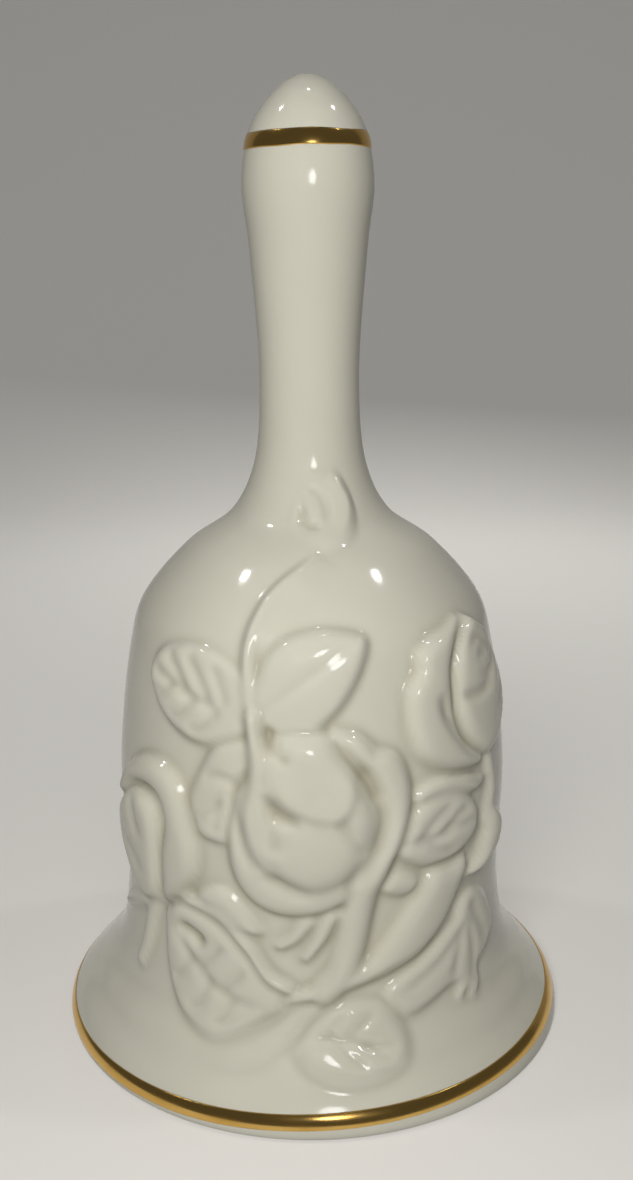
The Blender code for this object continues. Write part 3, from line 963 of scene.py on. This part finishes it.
            Groove(((-64, 37), (-58, 34.4), (-52, 31)), 0.4, 0.9),
        ),
    ),
    Blade(
        ((-69, 41), (-65, 45), (-60, 48.2), (-53, 50.2), (-45, 50.8), (-38, 49), (-34, 45), (-31.4, 39.5),
         (-31.6, 35), (-35, 31.6), (-40, 29), (-45, 27.6), (-45, 32), (-44.2, 37), (-42.6, 41.5),
         (-45, 45), (-51, 45.8), (-58, 44.8), (-64, 42)),
        2.1, 2.3, 0.3, cut=1.0,
    ),
    # Three claw-like sepals under the rose.
    Stem(((1.5, 33), (-1.6, 29), (-4.6, 26.4), (-9, 24.8)), 3.2, 1.6, 1.3),
    Stem(((6.4, 33), (4, 28.6), (1.6, 25.8), (-2, 23)), 3.0, 1.5, 1.5),
    Stem(((9, 30), (8, 24.8), (5.4, 21.4), (1, 18.8)), 2.4, 1.4, 1.1),
    # Rose: the two outer petals, the stem that runs out of them, then the round heart.
    Blade(
        ((-15, 52), (-19.4, 49), (-21.4, 45), (-22.2, 41), (-21.6, 37), (-19.4, 34), (-15, 31.4),
         (-8.6, 30), (0, 30), (7, 31.4), (13, 34), (12, 40), (-3, 44), (-11, 50)),
        1.8, 1.9, 0.3, (-0.01, -0.01), cut=0.9,
    ),
    Blade(
        ((5, 57.8), (9.2, 58), (13, 57.4), (15.6, 56.3), (17.6, 55.2), (20.4, 54.8), (23.6, 53.7),
         (26, 51.4), (27, 48.4), (26.6, 45), (24.5, 41), (22, 38), (19, 34.5), (16, 32), (11.5, 31.6),
         (9, 36), (10, 44), (10, 52)),
        2.0, 2.2, 0.3, cut=0.6,
        grooves=(
            Groove(((16, 56.8), (16.6, 55), (17.2, 53.4)), 0.4, 0.8, 0.8),
        ),
    ),
    Stem(((17.5, 40), (14.4, 35.6), (12.4, 31), (10.4, 25), (7.6, 20.5), (3, 17.6)), 5.0, 4.4, 2.0, 0.0),
    Blade(
        ((-20, 45), (-18, 40), (-14, 36.8), (-8, 34), (-2, 32.8), (4, 33), (10, 34.6), (15, 38),
         (18.6, 43.6), (18.4, 47.6), (15, 52), (10.2, 55.4), (5, 58), (0, 59), (-7, 58.8), (-13, 56.4),
         (-17, 52), (-19.6, 48.5)),
        2.6, 5.0, 0.6, cut=0.0, roundness=0.8,
    ),
    # The inner petal at the left, which runs on from the stem between the leaves.
    Stem(
        ((-15.4, 60), (-14.2, 56.4), (-13.2, 53), (-13.6, 49.4), (-15, 45.6), (-14.6, 41.6), (-11.6, 38)),
        2.6, 5.0, 3.0, 0.0,
    ),
    Groove(
        ((5, 57), (9.6, 54.1), (13.8, 51.6), (16.4, 49), (18.2, 46.2), (18.5, 44), (16.9, 40.6),
         (13.4, 37.4), (8.4, 34.9)),
        1.8, 1.2, 0.0,
    ),
    Groove(((13, 52), (15.4, 49.8), (17.2, 47.4)), 0.8, 0.9, 0.5),
    Groove(((-18.8, 46), (-17.4, 42.6), (-15, 39.6), (-10.5, 36.8), (-5.2, 35), (1, 33.8)), 1.0, 1.0),
    # The folded heart: a deep notch, the edges that run out of it and the curled petals above.
    Groove(((-10.6, 48.4), (-8.9, 46.9), (-6.2, 45.9), (-2.2, 45.3)), 1.5, 0.9, 0.6),
    Groove(((-9, 46.4), (-9.3, 43.8), (-8.6, 40.6)), 0.8, 1.2, 0.8),
    Groove(((-12, 57.6), (-10, 55.8), (-7, 54.5), (-4.4, 54.4)), 0.8, 0.7, 0.6),
    Groove(((6.6, 46), (9.8, 42.8), (13.4, 39.4)), 0.6, 1.0, 0.0),
    Fold(((7, 45), (1, 45.6), (-4.5, 46.8), (-8, 49.2), (-9.8, 52.4)), 0.6, 4.0, 0.9),
    Fold(((9.6, 54), (11.8, 50.6), (10.6, 47.8), (8, 45.8), (4.6, 44.6)), 0.7, 3.0, 0.9),
    Fold(((-1, 57), (-6, 55.4), (-8, 52.6), (-5.6, 50), (-1, 49.2)), 0.35, 2.4),
)


def finish_piece(bm: Shape, name: str, materials: tuple[Material, ...]) -> Piece:
    """Turns a bmesh into a smooth shaded piece at the origin.

    Args:
        bm: the shape in metres.
        name: the piece's name.
        materials: its materials, in slot order.

    Returns:
        The new object.
    """
    bmesh.ops.remove_doubles(bm, verts=bm.verts[:], dist=WELD)
    bmesh.ops.recalc_face_normals(bm, faces=bm.faces[:])
    mesh = bpy.data.meshes.new(name)
    bm.to_mesh(mesh)
    bm.free()
    mesh.shade_smooth()
    for material in materials:
        mesh.materials.append(material)
    piece = bpy.data.objects.new(name, mesh)
    bpy.context.scene.collection.objects.link(piece)
    return piece


def turn(profile: list[tuple[float, float]], closed: bool, columns: int) -> Shape:
    """Spins a profile about the Z axis.

    Args:
        profile: radius and height of each point, in millimetres.
        closed: whether the profile returns to its start.
        columns: steps round the turn.

    Returns:
        The turned shape in metres.
    """
    bm = bmesh.new()
    points = [bm.verts.new((radius * MM, 0.0, height * MM)) for radius, height in profile]
    edges = [bm.edges.new(pair) for pair in zip(points, points[1:])]
    if closed:
        edges.append(bm.edges.new((points[-1], points[0])))
    bmesh.ops.spin(
        bm,
        geom=points + edges,
        cent=(0.0, 0.0, 0.0),
        axis=(0.0, 0.0, 1.0),
        angle=2 * math.pi,
        steps=columns,
        use_merge=True,
    )
    return bm


def of_kind(items: list[object], kind: type) -> list:
    """Returns the items of one kind among those that an operator made."""
    return [item for item in items if isinstance(item, kind)]


def draw_out(bm: Shape, edges: list[Edge], step: Vector) -> list[Edge]:
    """Draws edges straight out into faces.

    Args:
        bm: the shape that holds them.
        edges: the edges.
        step: how far and which way, in metres.

    Returns:
        The edges at the far end.
    """
    made = bmesh.ops.extrude_edge_only(bm, edges=edges)["geom"]
    points = of_kind(made, bmesh.types.BMVert)
    bmesh.ops.translate(bm, verts=points, vec=step)
    return [edge for edge in of_kind(made, Edge) if set(edge.verts) <= set(points)]


def swing_round(
    bm: Shape,
    edges: list[Edge],
    centre: Vector,
    axis: Vector,
    angle: float,
    steps: int,
) -> list[Edge]:
    """Swings edges round a centre into a curved strip of faces.

    Args:
        bm: the shape that holds them.
        edges: the edges.
        centre: the centre in metres.
        axis: the axis that they swing about.
        angle: how far they swing, in radians.
        steps: rows of faces on the way.

    Returns:
        The edges at the far end.
    """
    points = list(dict.fromkeys(point for edge in edges for point in edge.verts))
    made = bmesh.ops.spin(bm, geom=points + edges, cent=centre, axis=axis, angle=angle, steps=steps)
    return of_kind(made["geom_last"], Edge)


def quarter(steps: int) -> list[tuple[float, float]]:
    """Walks round a quarter of a circle.

    Args:
        steps: how many steps it takes.

    Returns:
        The cosine and sine at the end of each step.
    """
    angles = [0.5 * math.pi * step / steps for step in range(1, steps)]
    return [(math.cos(angle), math.sin(angle)) for angle in angles] + [(0.0, 1.0)]


def place(piece: Piece, body: Body, slot: Slot, *nodes: str) -> None:
    """Ties a piece to its body and hides the solids it stands for.

    Args:
        piece: the finished piece.
        body: the body that it moves with.
        slot: its material slot; not used.
        *nodes: the solids that it replaces.
    """
    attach(piece, body.value)
    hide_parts(*nodes)
    LOG.info("%s rides on %s: %d faces", piece.name, body.value, len(piece.data.polygons))


@dataclass
class Shell:
    """The cast porcelain body with its raised spray of roses."""

    outline: Outline
    columns: int = 300
    front_bias: float = 0.35
    relief_step: float = 0.5
    plain_step: float = 2.0
    lining_step: float = 4.0
    relief_low: float = 4.6
    relief_high: float = 95.0
    foot_rows: int = 8
    wall: float = 3.0
    lip_round: float = 1.5
    lip_flat: float = 1.2
    lip_rows: int = 6
    inner_lip_rows: int = 4
    hollow_dome: float = 5.0
    dome_rows: int = 8
    softness: float = 0.42
    # Creases darken with pooled glaze and painted shade, over this spread and depth in millimetres.
    pool_and_shade_spread: float = 0.9
    pool_and_shade_depth: float = 0.55
    dry_below: float = 0.02

    def profile(self) -> list[tuple[float, float]]:
        """Draws the shell's section, from the tip down the outside and up the inside.

        Returns:
            The radius and height of each point, in millimetres.
        """
        outline = self.outline
        low, high, end = outline.along(self.relief_low), outline.along(self.relief_high), outline.runs[-1]
        foot = np.linspace(0.0, low, self.foot_rows + 1)[:-1]
        middle = np.linspace(low, high, int((high - low) / self.relief_step))
        top = np.linspace(high, end, int((end - high) / self.plain_step))[1:]
        section = list(zip(*outline.point(np.concatenate([foot, middle, top]))))
        section.reverse()
        lip_radius, lip_height = outline.lip
        for cosine, sine in quarter(self.lip_rows):
            section.append((lip_radius - self.lip_round * (1 - cosine), lip_height * (1 - sine)))
        inner_edge = lip_radius - self.lip_round - self.lip_flat
        section.append((inner_edge, 0.0))
        inner_lip = lip_radius - self.wall
        for cosine, sine in quarter(self.inner_lip_rows)[:-1]:
            section.append((inner_lip + (inner_edge - inner_lip) * cosine, lip_height * sine))
        runs = np.arange(0.0, outline.along(outline.stations[KNOB][1]), self.lining_step)
        inner = list(zip(*outline.offset(runs, -self.wall)))
        section += [point for i, point in enumerate(inner) if i == 0 or point[1] > inner[i - 1][1]]
        start_radius, start_height = section[-1]
        for cosine, sine in quarter(self.dome_rows):
            section.append((start_radius * cosine, start_height + self.hollow_dome * sine))
        return section

    def relief(self) -> Sheet:
        """Lays the whole spray on a sheet and softens it as the glaze does.

        Returns:
            The finished sheet.
        """
        sheet = Sheet(self.outline)
        for motif in SPRAY:
            motif.lay(sheet)
        sheet.fire(self.softness, self.pool_and_shade_spread, self.pool_and_shade_depth)
        return sheet

    def build(self) -> Piece:
        """Turns the shell and raises its relief.

        Returns:
            The new piece.
        """
        turned = turn(self.profile(), False, self.columns)
        piece = finish_piece(turned, "porcelain_shell", (GLAZE.make(), BISQUE.make()))
        mesh = piece.data
        flat = np.zeros(len(mesh.vertices) * 3)
        mesh.vertices.foreach_get("co", flat)
        spots = flat.reshape(-1, 3) / MM
        reach = np.hypot(spots[:, 0], spots[:, 1])
        turns = np.arctan2(spots[:, 0], -spots[:, 1])
        # The columns crowd towards the front.
        turns -= self.front_bias * np.sin(turns)
        heights = spots[:, 2].copy()
        runs = self.outline.along(heights)
        outside = reach > self.outline.radius(heights) - 0.5 * self.wall
        outside &= heights > self.outline.lip[1]
        rise, pool_and_shade = self.relief().sample(np.degrees(turns), runs)
        rise = np.where(outside, rise, 0.0)
        outward, upward = self.outline.facing(runs)
        reach += rise * outward
        heights += rise * upward
        moved = np.column_stack([reach * np.sin(turns), -reach * np.cos(turns), heights]) * MM
        mesh.vertices.foreach_set("co", moved.ravel())
        # Each point keeps how far its crease darkens, as pooled glaze and painted shade.
        kept = mesh.attributes.new("pool_and_shade", "FLOAT", "POINT")
        kept.data.foreach_set("value", np.where(outside, pool_and_shade, 0.0))
        for face in mesh.polygons:
            face.material_index = int(face.center.z < self.dry_below * MM)
        mesh.update()
        return piece

    def dress(self) -> None:
        """Builds the shell and ties it to the bell."""
        place(self.build(), Body.BELL, Slot.PORCELAIN, "porcelain_body")


@dataclass
class GiltBand:
    """A hand-painted gold line fired on the glaze.

    A wave of its edge has a size, a number of swells round the bell and a phase.
    """

    outline: Outline
    name: str
    node: str
    low: float
    high: float
    tilt: float
    waver: float
    columns: int = 288
    lift: float = 0.035
    crown: float = 0.12
    depth: float = 0.15
    rows: int = 12
    lower_waves: tuple[tuple[float, int, float], ...] = ((1.0, 3, 0.7), (0.6, 8, 2.1))
    upper_waves: tuple[tuple[float, int, float], ...] = ((1.0, 4, 1.9), (0.6, 7, 0.4))

    def build(self, material: Material) -> Piece:
        """Makes the band as a thin skin on the glaze, thickest in its middle, with an uneven edge.

        Args:
            material: the gilding.

        Returns:
            The new piece.
        """
        runs = np.linspace(self.outline.along(self.low), self.outline.along(self.high), self.rows)
        profile = []
        for offset, order in ((self.lift, runs[::-1]), (-self.depth, runs)):
            profile += list(zip(*self.outline.offset(order, offset)))
        piece = finish_piece(turn(profile, True, self.columns), self.name, (material,))
        for vertex in piece.data.vertices:
            self.paint(vertex, runs[0], runs[-1])
        piece.data.update()
        return piece

    def paint(self, vertex: bpy.types.MeshVertex, low: float, high: float) -> None:
        """Moves a point of the band along the glaze, as an unsteady brush would.

        Args:
            vertex: the point.
            low: the band's lower edge up the outline.
            high: its upper edge.
        """
        spot = vertex.co / MM
        angle = math.atan2(spot.x, -spot.y)
        run = float(self.outline.along(spot.z))
        share = (run - low) / (high - low)
        crowned = self.lift + 4 * self.crown * share * (1 - share)
        raised = math.hypot(spot.x, spot.y) > self.outline.radius(spot.z)
        lower = sum(size * math.sin(count * angle + phase) for size, count, phase in self.lower_waves)
        upper = sum(size * math.sin(count * angle + phase) for size, count, phase in self.upper_waves)
        run += self.tilt * math.sin(angle) + self.waver * (lower * (1 - share) + upper * share)
        reach, height = self.outline.offset(run, crowned if raised else -self.depth)
        vertex.co = Vector((reach * math.sin(angle), -reach * math.cos(angle), height)) * MM

    def dress(self, material: Material) -> None:
        """Builds the band and ties it to the bell."""
        place(self.build(material), Body.BELL, Slot.GILDING, self.node)


@dataclass
class WireBender:
    """Bends a round wire from a ring of edges, one run or bend at a time, in millimetres."""

    start: Vector
    diameter: float
    sides: int = 16
    bend_step: float = 7.5
    least_rows: int = 2
    cut_inset: float = 0.12
    cut_dome: float = 0.4
    bm: Shape = field(init=False)
    ring: list[Edge] = field(init=False)
    first: list[Edge] = field(init=False)

    def __post_init__(self) -> None:
        """Starts the wire with a ring that faces along Z."""
        self.bm = bmesh.new()
        bmesh.ops.create_circle(
            self.bm,
            cap_ends=False,
            segments=self.sides,
            radius=0.5 * self.diameter * MM,
            matrix=Matrix.Translation(self.start * MM),
        )
        self.ring = self.bm.edges[:]
        self.first = self.bm.edges[:]

    def run(self, length: float, direction: Vector) -> None:
        """Draws the wire straight on, by a length in a unit direction."""
        self.ring = draw_out(self.bm, self.ring, direction * length * MM)

    def bend(self, centre: Vector, axis: Vector, degrees: float) -> None:
        """Bends the wire by an angle round a centre and an axis."""
        steps = max(int(abs(degrees) / self.bend_step), self.least_rows)
        self.ring = swing_round(self.bm, self.ring, centre * MM, axis, math.radians(degrees), steps)

    def cap(self) -> None:
        """Closes both ends with a slightly rounded face."""
        inset = self.cut_inset * MM
        for ring in (self.first, self.ring):
            faces = bmesh.ops.contextual_create(self.bm, geom=ring)["faces"]
            bmesh.ops.inset_region(self.bm, faces=faces, thickness=inset, depth=self.cut_dome * inset)


@dataclass
class Hanger:
    """The cement plug in the neck, the wire eye in it and the link that hangs from the eye.

    The plug's lumps have a pace in radians for each millimetre, and a phase.
    """

    outline: Outline
    wire: float = 1.2
    bore: float = 3.2
    wall: float = 3.0
    clearance: float = 0.3
    plug_low: float = 86.6
    plug_high: float = 95.6
    plug_rows: int = 14
    plug_columns: int = 72
    dish: float = 0.5
    dish_rings: tuple[float, ...] = (0.85, 0.7, 0.55, 0.4, 0.25, 0.0)
    lump: float = 0.12
    lump_high: float = 0.6
    lump_inner: float = 1.2
    lump_x: tuple[float, float] = (1.9, 0.4)
    lump_y: tuple[float, float] = (2.3, 1.1)
    eye_drop: float = 1.0
    shank: float = 5.0
    straight: float = 4.0
    kink: float = 0.8

    @property
    def loop_radius(self) -> float:
        """The radius of a loop's centre line."""
        return 0.5 * (self.bore + self.wire)

    @property
    def eye_centre(self) -> float:
        """The height of the eye's centre."""
        return self.plug_low - self.eye_drop - 0.5 * self.wire - self.loop_radius

    @property
    def link_top(self) -> float:
        """The height of the centre of the link's upper bend."""
        return self.eye_centre - self.loop_radius + self.wire + self.clearance - self.loop_radius

    @property
    def clapper_pivot(self) -> float:
        """The height of the wire at the foot of the link."""
        return self.link_top - self.straight - self.loop_radius

    @property
    def kink_rise(self) -> float:
        """How far above its loop's centre a shank starts to bend."""
        return math.sqrt((self.loop_radius + self.kink) ** 2 - self.kink ** 2)

    def plug(self, material: Material) -> Piece:
        """Makes the plug, with a poured dish-shaped face that set uneven.

        Args:
            material: the cement.

        Returns:
            The new piece.
        """
        outline = self.outline
        runs = np.linspace(outline.along(self.plug_low), outline.along(self.plug_high), self.plug_rows)[::-1]
        radii, heights = outline.point(runs)
        outward, _ = outline.facing(runs)
        side = list(zip(radii - outward * (self.wall + self.clearance), heights))
        bottom = side[-1][0]
        hole = 0.5 * self.wire + self.clearance
        hole_top = self.plug_low + self.shank + self.clearance
        profile = [(0.0, self.plug_high)] + side
        for share in self.dish_rings:
            profile.append((hole + (bottom - hole) * share, self.plug_low + self.dish * (1 - share) ** 2))
        profile += [(hole, hole_top), (0.0, hole_top)]
        piece = finish_piece(turn(profile, False, self.plug_columns), "neck_plug", (material,))
        for vertex in piece.data.vertices:
            spot = vertex.co / MM
            if spot.z < self.plug_low + self.lump_high and math.hypot(spot.x, spot.y) > self.lump_inner:
                across = math.sin(self.lump_x[0] * spot.x + self.lump_x[1])
                along = math.sin(self.lump_y[0] * spot.y + self.lump_y[1])
                vertex.co.z += self.lump * (1 + across * along) * MM
        piece.data.update()
        return piece

    def loop(self, bender: WireBender, centre: float) -> None:
        """Bends a wire that comes down its shank into an open loop.

        Args:
            bender: the wire, whose ring is on the axis and faces down.
            centre: the height of the loop's centre.
        """
        entry = math.degrees(math.atan2(self.kink_rise, -self.kink))
        opening = math.degrees(math.asin((self.wire + self.clearance) / self.loop_radius))
        side = Vector((0.0, 1.0, 0.0))
        bender.bend(Vector((-self.kink, 0.0, centre + self.kink_rise)), side, HALF_TURN - entry)
        bender.bend(Vector((0.0, 0.0, centre)), -side, TURN_AND_QUARTER - opening - entry)

    def looped_wire(self, top: float, centre: float) -> WireBender:
        """Bends a straight shank that ends in an open loop.

        Args:
            top: the height of the shank's end.
            centre: the height of the loop's centre.

        Returns:
            The bent wire with both ends closed.
        """
        bender = WireBender(Vector((0.0, 0.0, top)), self.wire)
        bender.run(top - (centre + self.kink_rise), DOWN)
        self.loop(bender, centre)
        bender.cap()
        return bender

    def eye(self, material: Material) -> Piece:
        """Returns the eye with its shank in the plug."""
        bender = self.looped_wire(self.plug_low + self.shank, self.eye_centre)
        return finish_piece(bender.bm, "wire_eye", (material,))

    def link(self, material: Material) -> Piece:
        """Bends the closed oval link.

        Args:
            material: the brass.

        Returns:
            The new piece.
        """
        bender = WireBender(Vector((0.0, self.loop_radius, self.link_top)), self.wire)
        for centre, direction in ((self.link_top, DOWN), (self.link_top - self.straight, -DOWN)):
            bender.bend(Vector((0.0, 0.0, centre)), Vector((1.0, 0.0, 0.0)), HALF_TURN)
            bender.run(self.straight, direction)
        return finish_piece(bender.bm, "oval_link", (material,))

    def dress(self, brass: Material) -> None:
        """Builds the plug, eye and link and ties them to their bodies.

        Args:
            brass: the finish of the wire.
        """
        place(self.plug(CEMENT.make()), Body.BELL, Slot.PLUG, "crown_plug")
        place(self.eye(brass), Body.BELL, Slot.WIRE, "crown_eye")
        place(self.link(brass), Body.LINK, Slot.WIRE, "swing_link")


@dataclass
class Clapper:
    """The clapper wire with its hook, its bead and the two crimped stops."""

    hanger: Hanger
    strike_height: float = 17.6
    bead_radius: float = 7.0
    bead_rows: int = 40
    bead_columns: int = 72
    rim_soft: float = 0.35
    rim_drop: float = 0.25
    stop_radius: float = 1.7
    stop_length: float = 2.2
    stop_rows: int = 16
    stop_columns: int = 40
    stop_end: float = 0.25
    stop_fullness: float = 0.6
    pinch: float = 0.16
    pinch_width: float = 0.45
    pinch_inner: float = 0.3
    tail: float = 1.2

    @property
    def bore(self) -> float:
        """The radius of the hole through the bead and the stops."""
        return 0.5 * self.hanger.wire + self.hanger.clearance

    @property
    def half_bead(self) -> float:
        """Half of the bead's height between the ends of its hole."""
        return math.sqrt(self.bead_radius ** 2 - self.bore ** 2)

    def wire(self, material: Material) -> Piece:
        """Bends the wire, which is an eye turned upside down on a long shank.

        Args:
            material: the brass.

        Returns:
            The new piece.
        """
        hanger = self.hanger
        centre = hanger.clapper_pivot + hanger.wire + hanger.clearance - hanger.loop_radius
        foot = self.strike_height - self.half_bead - hanger.clearance - self.stop_length - self.tail
        bm = hanger.looped_wire(2 * centre - foot, centre).bm
        over = Matrix.Rotation(math.pi, 3, "Y")
        bmesh.ops.rotate(bm, verts=bm.verts[:], cent=(0.0, 0.0, centre * MM), matrix=over)
        return finish_piece(bm, "hooked_wire", (material,))

    def bead(self, material: Material) -> Piece:
        """Makes the drilled bead with softened rims at its hole.

        Args:
            material: its glaze.

        Returns:
            The new piece.
        """
        start = math.acos((self.bore + self.rim_soft) / self.bead_radius)
        rim = self.half_bead - self.rim_drop
        profile = [(self.bore, self.strike_height + rim)]
        for step in range(self.bead_rows + 1):
            angle = start - 2 * start * step / self.bead_rows
            reach = self.bead_radius * math.cos(angle)
            profile.append((reach, self.strike_height + self.bead_radius * math.sin(angle)))
        profile.append((self.bore, self.strike_height - rim))
        return finish_piece(turn(profile, True, self.bead_columns), "striking_bead", (material,))

    def stop(self, name: str, foot: float, material: Material) -> Piece:
        """Makes a crimped stop with its waist pinched by the pliers.

        Args:
            name: the piece's name.
            foot: the height of its lower end.
            material: its finish.

        Returns:
            The new piece.
        """
        middle = foot + 0.5 * self.stop_length
        end = self.bore + self.stop_end
        profile = [(self.bore, foot + self.stop_length)]
        for step in range(self.stop_rows + 1):
            angle = math.pi * (0.5 - step / self.stop_rows)
            reach = end + (self.stop_radius - end) * math.cos(angle) ** self.stop_fullness
            profile.append((reach, middle + 0.5 * self.stop_length * math.sin(angle)))
        profile.append((self.bore, foot))
        piece = finish_piece(turn(profile, True, self.stop_columns), name, (material,))
        for vertex in piece.data.vertices:
            spot = vertex.co / MM
            waist = math.exp(-((spot.z - middle) / self.pinch_width) ** 2)
            squeeze = self.pinch * waist * abs(math.cos(math.atan2(spot.y, spot.x)))
            if math.hypot(spot.x, spot.y) > self.bore + self.pinch_inner:
                vertex.co.x *= 1 - squeeze
                vertex.co.y *= 1 - squeeze
        piece.data.update()
        return piece

    def dress(self, brass: Material, glaze: Material) -> None:
        """Builds the clapper's pieces and ties them to their bodies.

        Args:
            brass: the finish of the wire and the stops.
            glaze: the finish of the bead.
        """
        gap = self.hanger.clearance
        upper = self.strike_height + self.half_bead + gap
        lower = self.strike_height - self.half_bead - gap - self.stop_length
        place(self.wire(brass), Body.CLAPPER, Slot.WIRE, "clapper_wire")
        place(self.stop("crimp_above_bead", upper, brass), Body.CLAPPER, Slot.WIRE, "upper_stop")
        place(self.stop("crimp_below_bead", lower, brass), Body.CLAPPER, Slot.WIRE, "lower_stop")
        place(self.bead(glaze), Body.BEAD, Slot.BEAD, "clapper_bead")


@dataclass(frozen=True)
class Lamp:
    """A round lamp: its place and diameter in metres, its watts, and whether gloss shows it."""

    name: str
    spot: tuple[float, float, float]
    size: float
    power: float
    mirrored: bool
    shadows: bool = True


@dataclass
class Studio:
    """A pale sweep, soft lamps and the camera at the photograph's angle, in metres."""

    floor: str = "#D2CFC9"
    sky: tuple[float, float, float] = (0.022, 0.022, 0.024)
    room: tuple[float, float, float] = (0.09, 0.09, 0.093)
    floor_bounce: str = "#6E6C68"
    paper_glow: float = 0.27
    paper_roughness: float = 0.8
    half_width: float = 1.5
    floor_front: float = -1.2
    floor_back: float = 0.4
    curve: float = 0.3
    curve_rows: int = 24
    wall: float = 1.2
    camera_spot: tuple[float, float, float] = (0.0009, -0.1972, 0.1234)
    pitch: float = 14.83
    roll: float = -0.36
    lens_mm: float = 38.62
    sensor_mm: float = 36.0
    nearest: float = 0.01
    aim: tuple[float, float, float] = (0.0, 0.0, 0.07)
    lamps: tuple[Lamp, ...] = (
        Lamp("front_soft", (-0.03, -0.235, 0.170), 0.10, 0.43, False),
        Lamp("front_spark", (0.030, -0.215, 0.155), 0.045, 0.05, True),
        Lamp("ceiling_left", (-0.62, 0.02, 1.04), 0.08, 0.8, True),
        Lamp("ceiling_right", (0.62, 0.02, 1.04), 0.08, 0.8, True),
        Lamp("ceiling_middle", (0.03, 0.10, 1.10), 0.04, 0.25, True),
        Lamp("back_fill", (0.05, 0.40, 0.30), 0.25, 0.85, False, shadows=False),
    )

    @staticmethod
    def seen(tree: Tree) -> Socket:
        """Tells what the camera sees, directly or in a mirror, from what only gives light.

        Args:
            tree: the node tree of the floor or of the surroundings.

        Returns:
            A socket that gives 1 for what is seen, and 0 for the rest.
        """
        path = add_node(tree, "ShaderNodeLightPath", {}, {})
        seen = add_node(tree, "ShaderNodeMath", {}, {}, operation="MAXIMUM")
        tree.links.new(path.outputs["Is Camera Ray"], seen.inputs[0])
        tree.links.new(path.outputs["Is Glossy Ray"], seen.inputs[1])
        return seen.outputs["Value"]

    def paper(self) -> Material:
        """Makes the floor's pale paper, which gives back less light than it shows.

        Returns:
            The new material.
        """
        material, tree, shader = new_material("studio_paper")
        seen = self.seen(tree)
        tone = blend(tree, linear(self.floor_bounce), linear(self.floor), seen)
        glow = add_node(tree, "ShaderNodeMapRange", {"To Max": self.paper_glow}, {"Value": seen})
        tree.links.new(tone, shader.inputs["Base Color"])
        tree.links.new(glow.outputs["Result"], shader.inputs["Emission Strength"])
        shader.inputs["Emission Color"].default_value = linear(self.floor)
        shader.inputs["Roughness"].default_value = self.paper_roughness
        return material

    def sweep(self) -> None:
        """Adds the floor, which curves up behind the bell."""
        bm = bmesh.new()
        left = bm.verts.new((-self.half_width, self.floor_front, 0.0))
        right = bm.verts.new((self.half_width, self.floor_front, 0.0))
        front = bm.edges.new((left, right))
        back = draw_out(bm, [front], Vector((0.0, self.floor_back - self.floor_front, 0.0)))
        centre = Vector((0.0, self.floor_back, self.curve))
        foot = swing_round(bm, back, centre, Vector((1.0, 0.0, 0.0)), 0.5 * math.pi, self.curve_rows)
        draw_out(bm, foot, Vector((0.0, 0.0, self.wall)))
        finish_piece(bm, "studio_floor", (self.paper(),))

    def lamp(self, lamp: Lamp) -> None:
        """Adds a round lamp.

        Args:
            lamp: its place, size and power.
        """
        light = bpy.data.lights.new(lamp.name, "AREA")
        light.shape = "DISK"
        light.size = lamp.size
        light.energy = lamp.power
        light.use_shadow = lamp.shadows
        holder = bpy.data.objects.new(lamp.name, light)
        spot = Vector(lamp.spot)
        holder.location = spot
        holder.rotation_euler = (Vector(self.aim) - spot).to_track_quat("-Z", "Y").to_euler()
        holder.visible_glossy = lamp.mirrored
        holder.visible_camera = False
        bpy.context.scene.collection.objects.link(holder)

    def light(self) -> None:
        """Adds the lamps and the dim surroundings."""
        world = bpy.data.worlds.new("studio_surroundings")
        world.use_nodes = True
        tree = world.node_tree
        room = blend(tree, (*self.sky, 1.0), (*self.room, 1.0), self.seen(tree))
        tree.links.new(room, tree.nodes["Background"].inputs["Color"])
        bpy.context.scene.world = world
        for lamp in self.lamps:
            self.lamp(lamp)

    def camera(self) -> None:
        """Adds the camera."""
        data = bpy.data.cameras.new("photograph_view")
        data.lens = self.lens_mm
        data.sensor_width = self.sensor_mm
        data.clip_start = self.nearest
        holder = bpy.data.objects.new("photograph_view", data)
        tilt = Matrix.Rotation(math.radians(90.0 - self.pitch), 4, "X")
        lean = Matrix.Rotation(math.radians(self.roll), 4, "Z")
        holder.matrix_world = Matrix.Translation(Vector(self.camera_spot)) @ tilt @ lean
        bpy.context.scene.collection.objects.link(holder)
        bpy.context.scene.camera = holder

    def dress(self) -> None:
        """Sets up the stage."""
        bpy.context.scene.view_settings.view_transform = "Standard"
        self.sweep()
        self.light()
        self.camera()


def main() -> None:
    """Builds each sub-assembly in order."""
    logging.basicConfig(level=logging.INFO)
    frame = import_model()
    LOG.info("loaded %d solids", len(frame["nodes"]))
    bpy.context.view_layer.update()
    outline = Outline()
    Shell(outline).dress()
    gold = GILDING.make()
    bands = (
        GiltBand(outline, "rim_gilding", "rim_gilt_band", low=1.7, high=3.7, tilt=0.95, waver=0.06),
        GiltBand(outline, "knob_gilding", "knob_gilt_band", low=138.4, high=140.7, tilt=0.12, waver=0.06),
    )
    for band in bands:
        band.dress(gold)
    brass = BRASS.make()
    hanger = Hanger(outline)
    hanger.dress(brass)
    Clapper(hanger).dress(brass, PorcelainGlaze(name="bead_porcelain").make())
    Studio().dress()


if __name__ == "__main__":
    main()
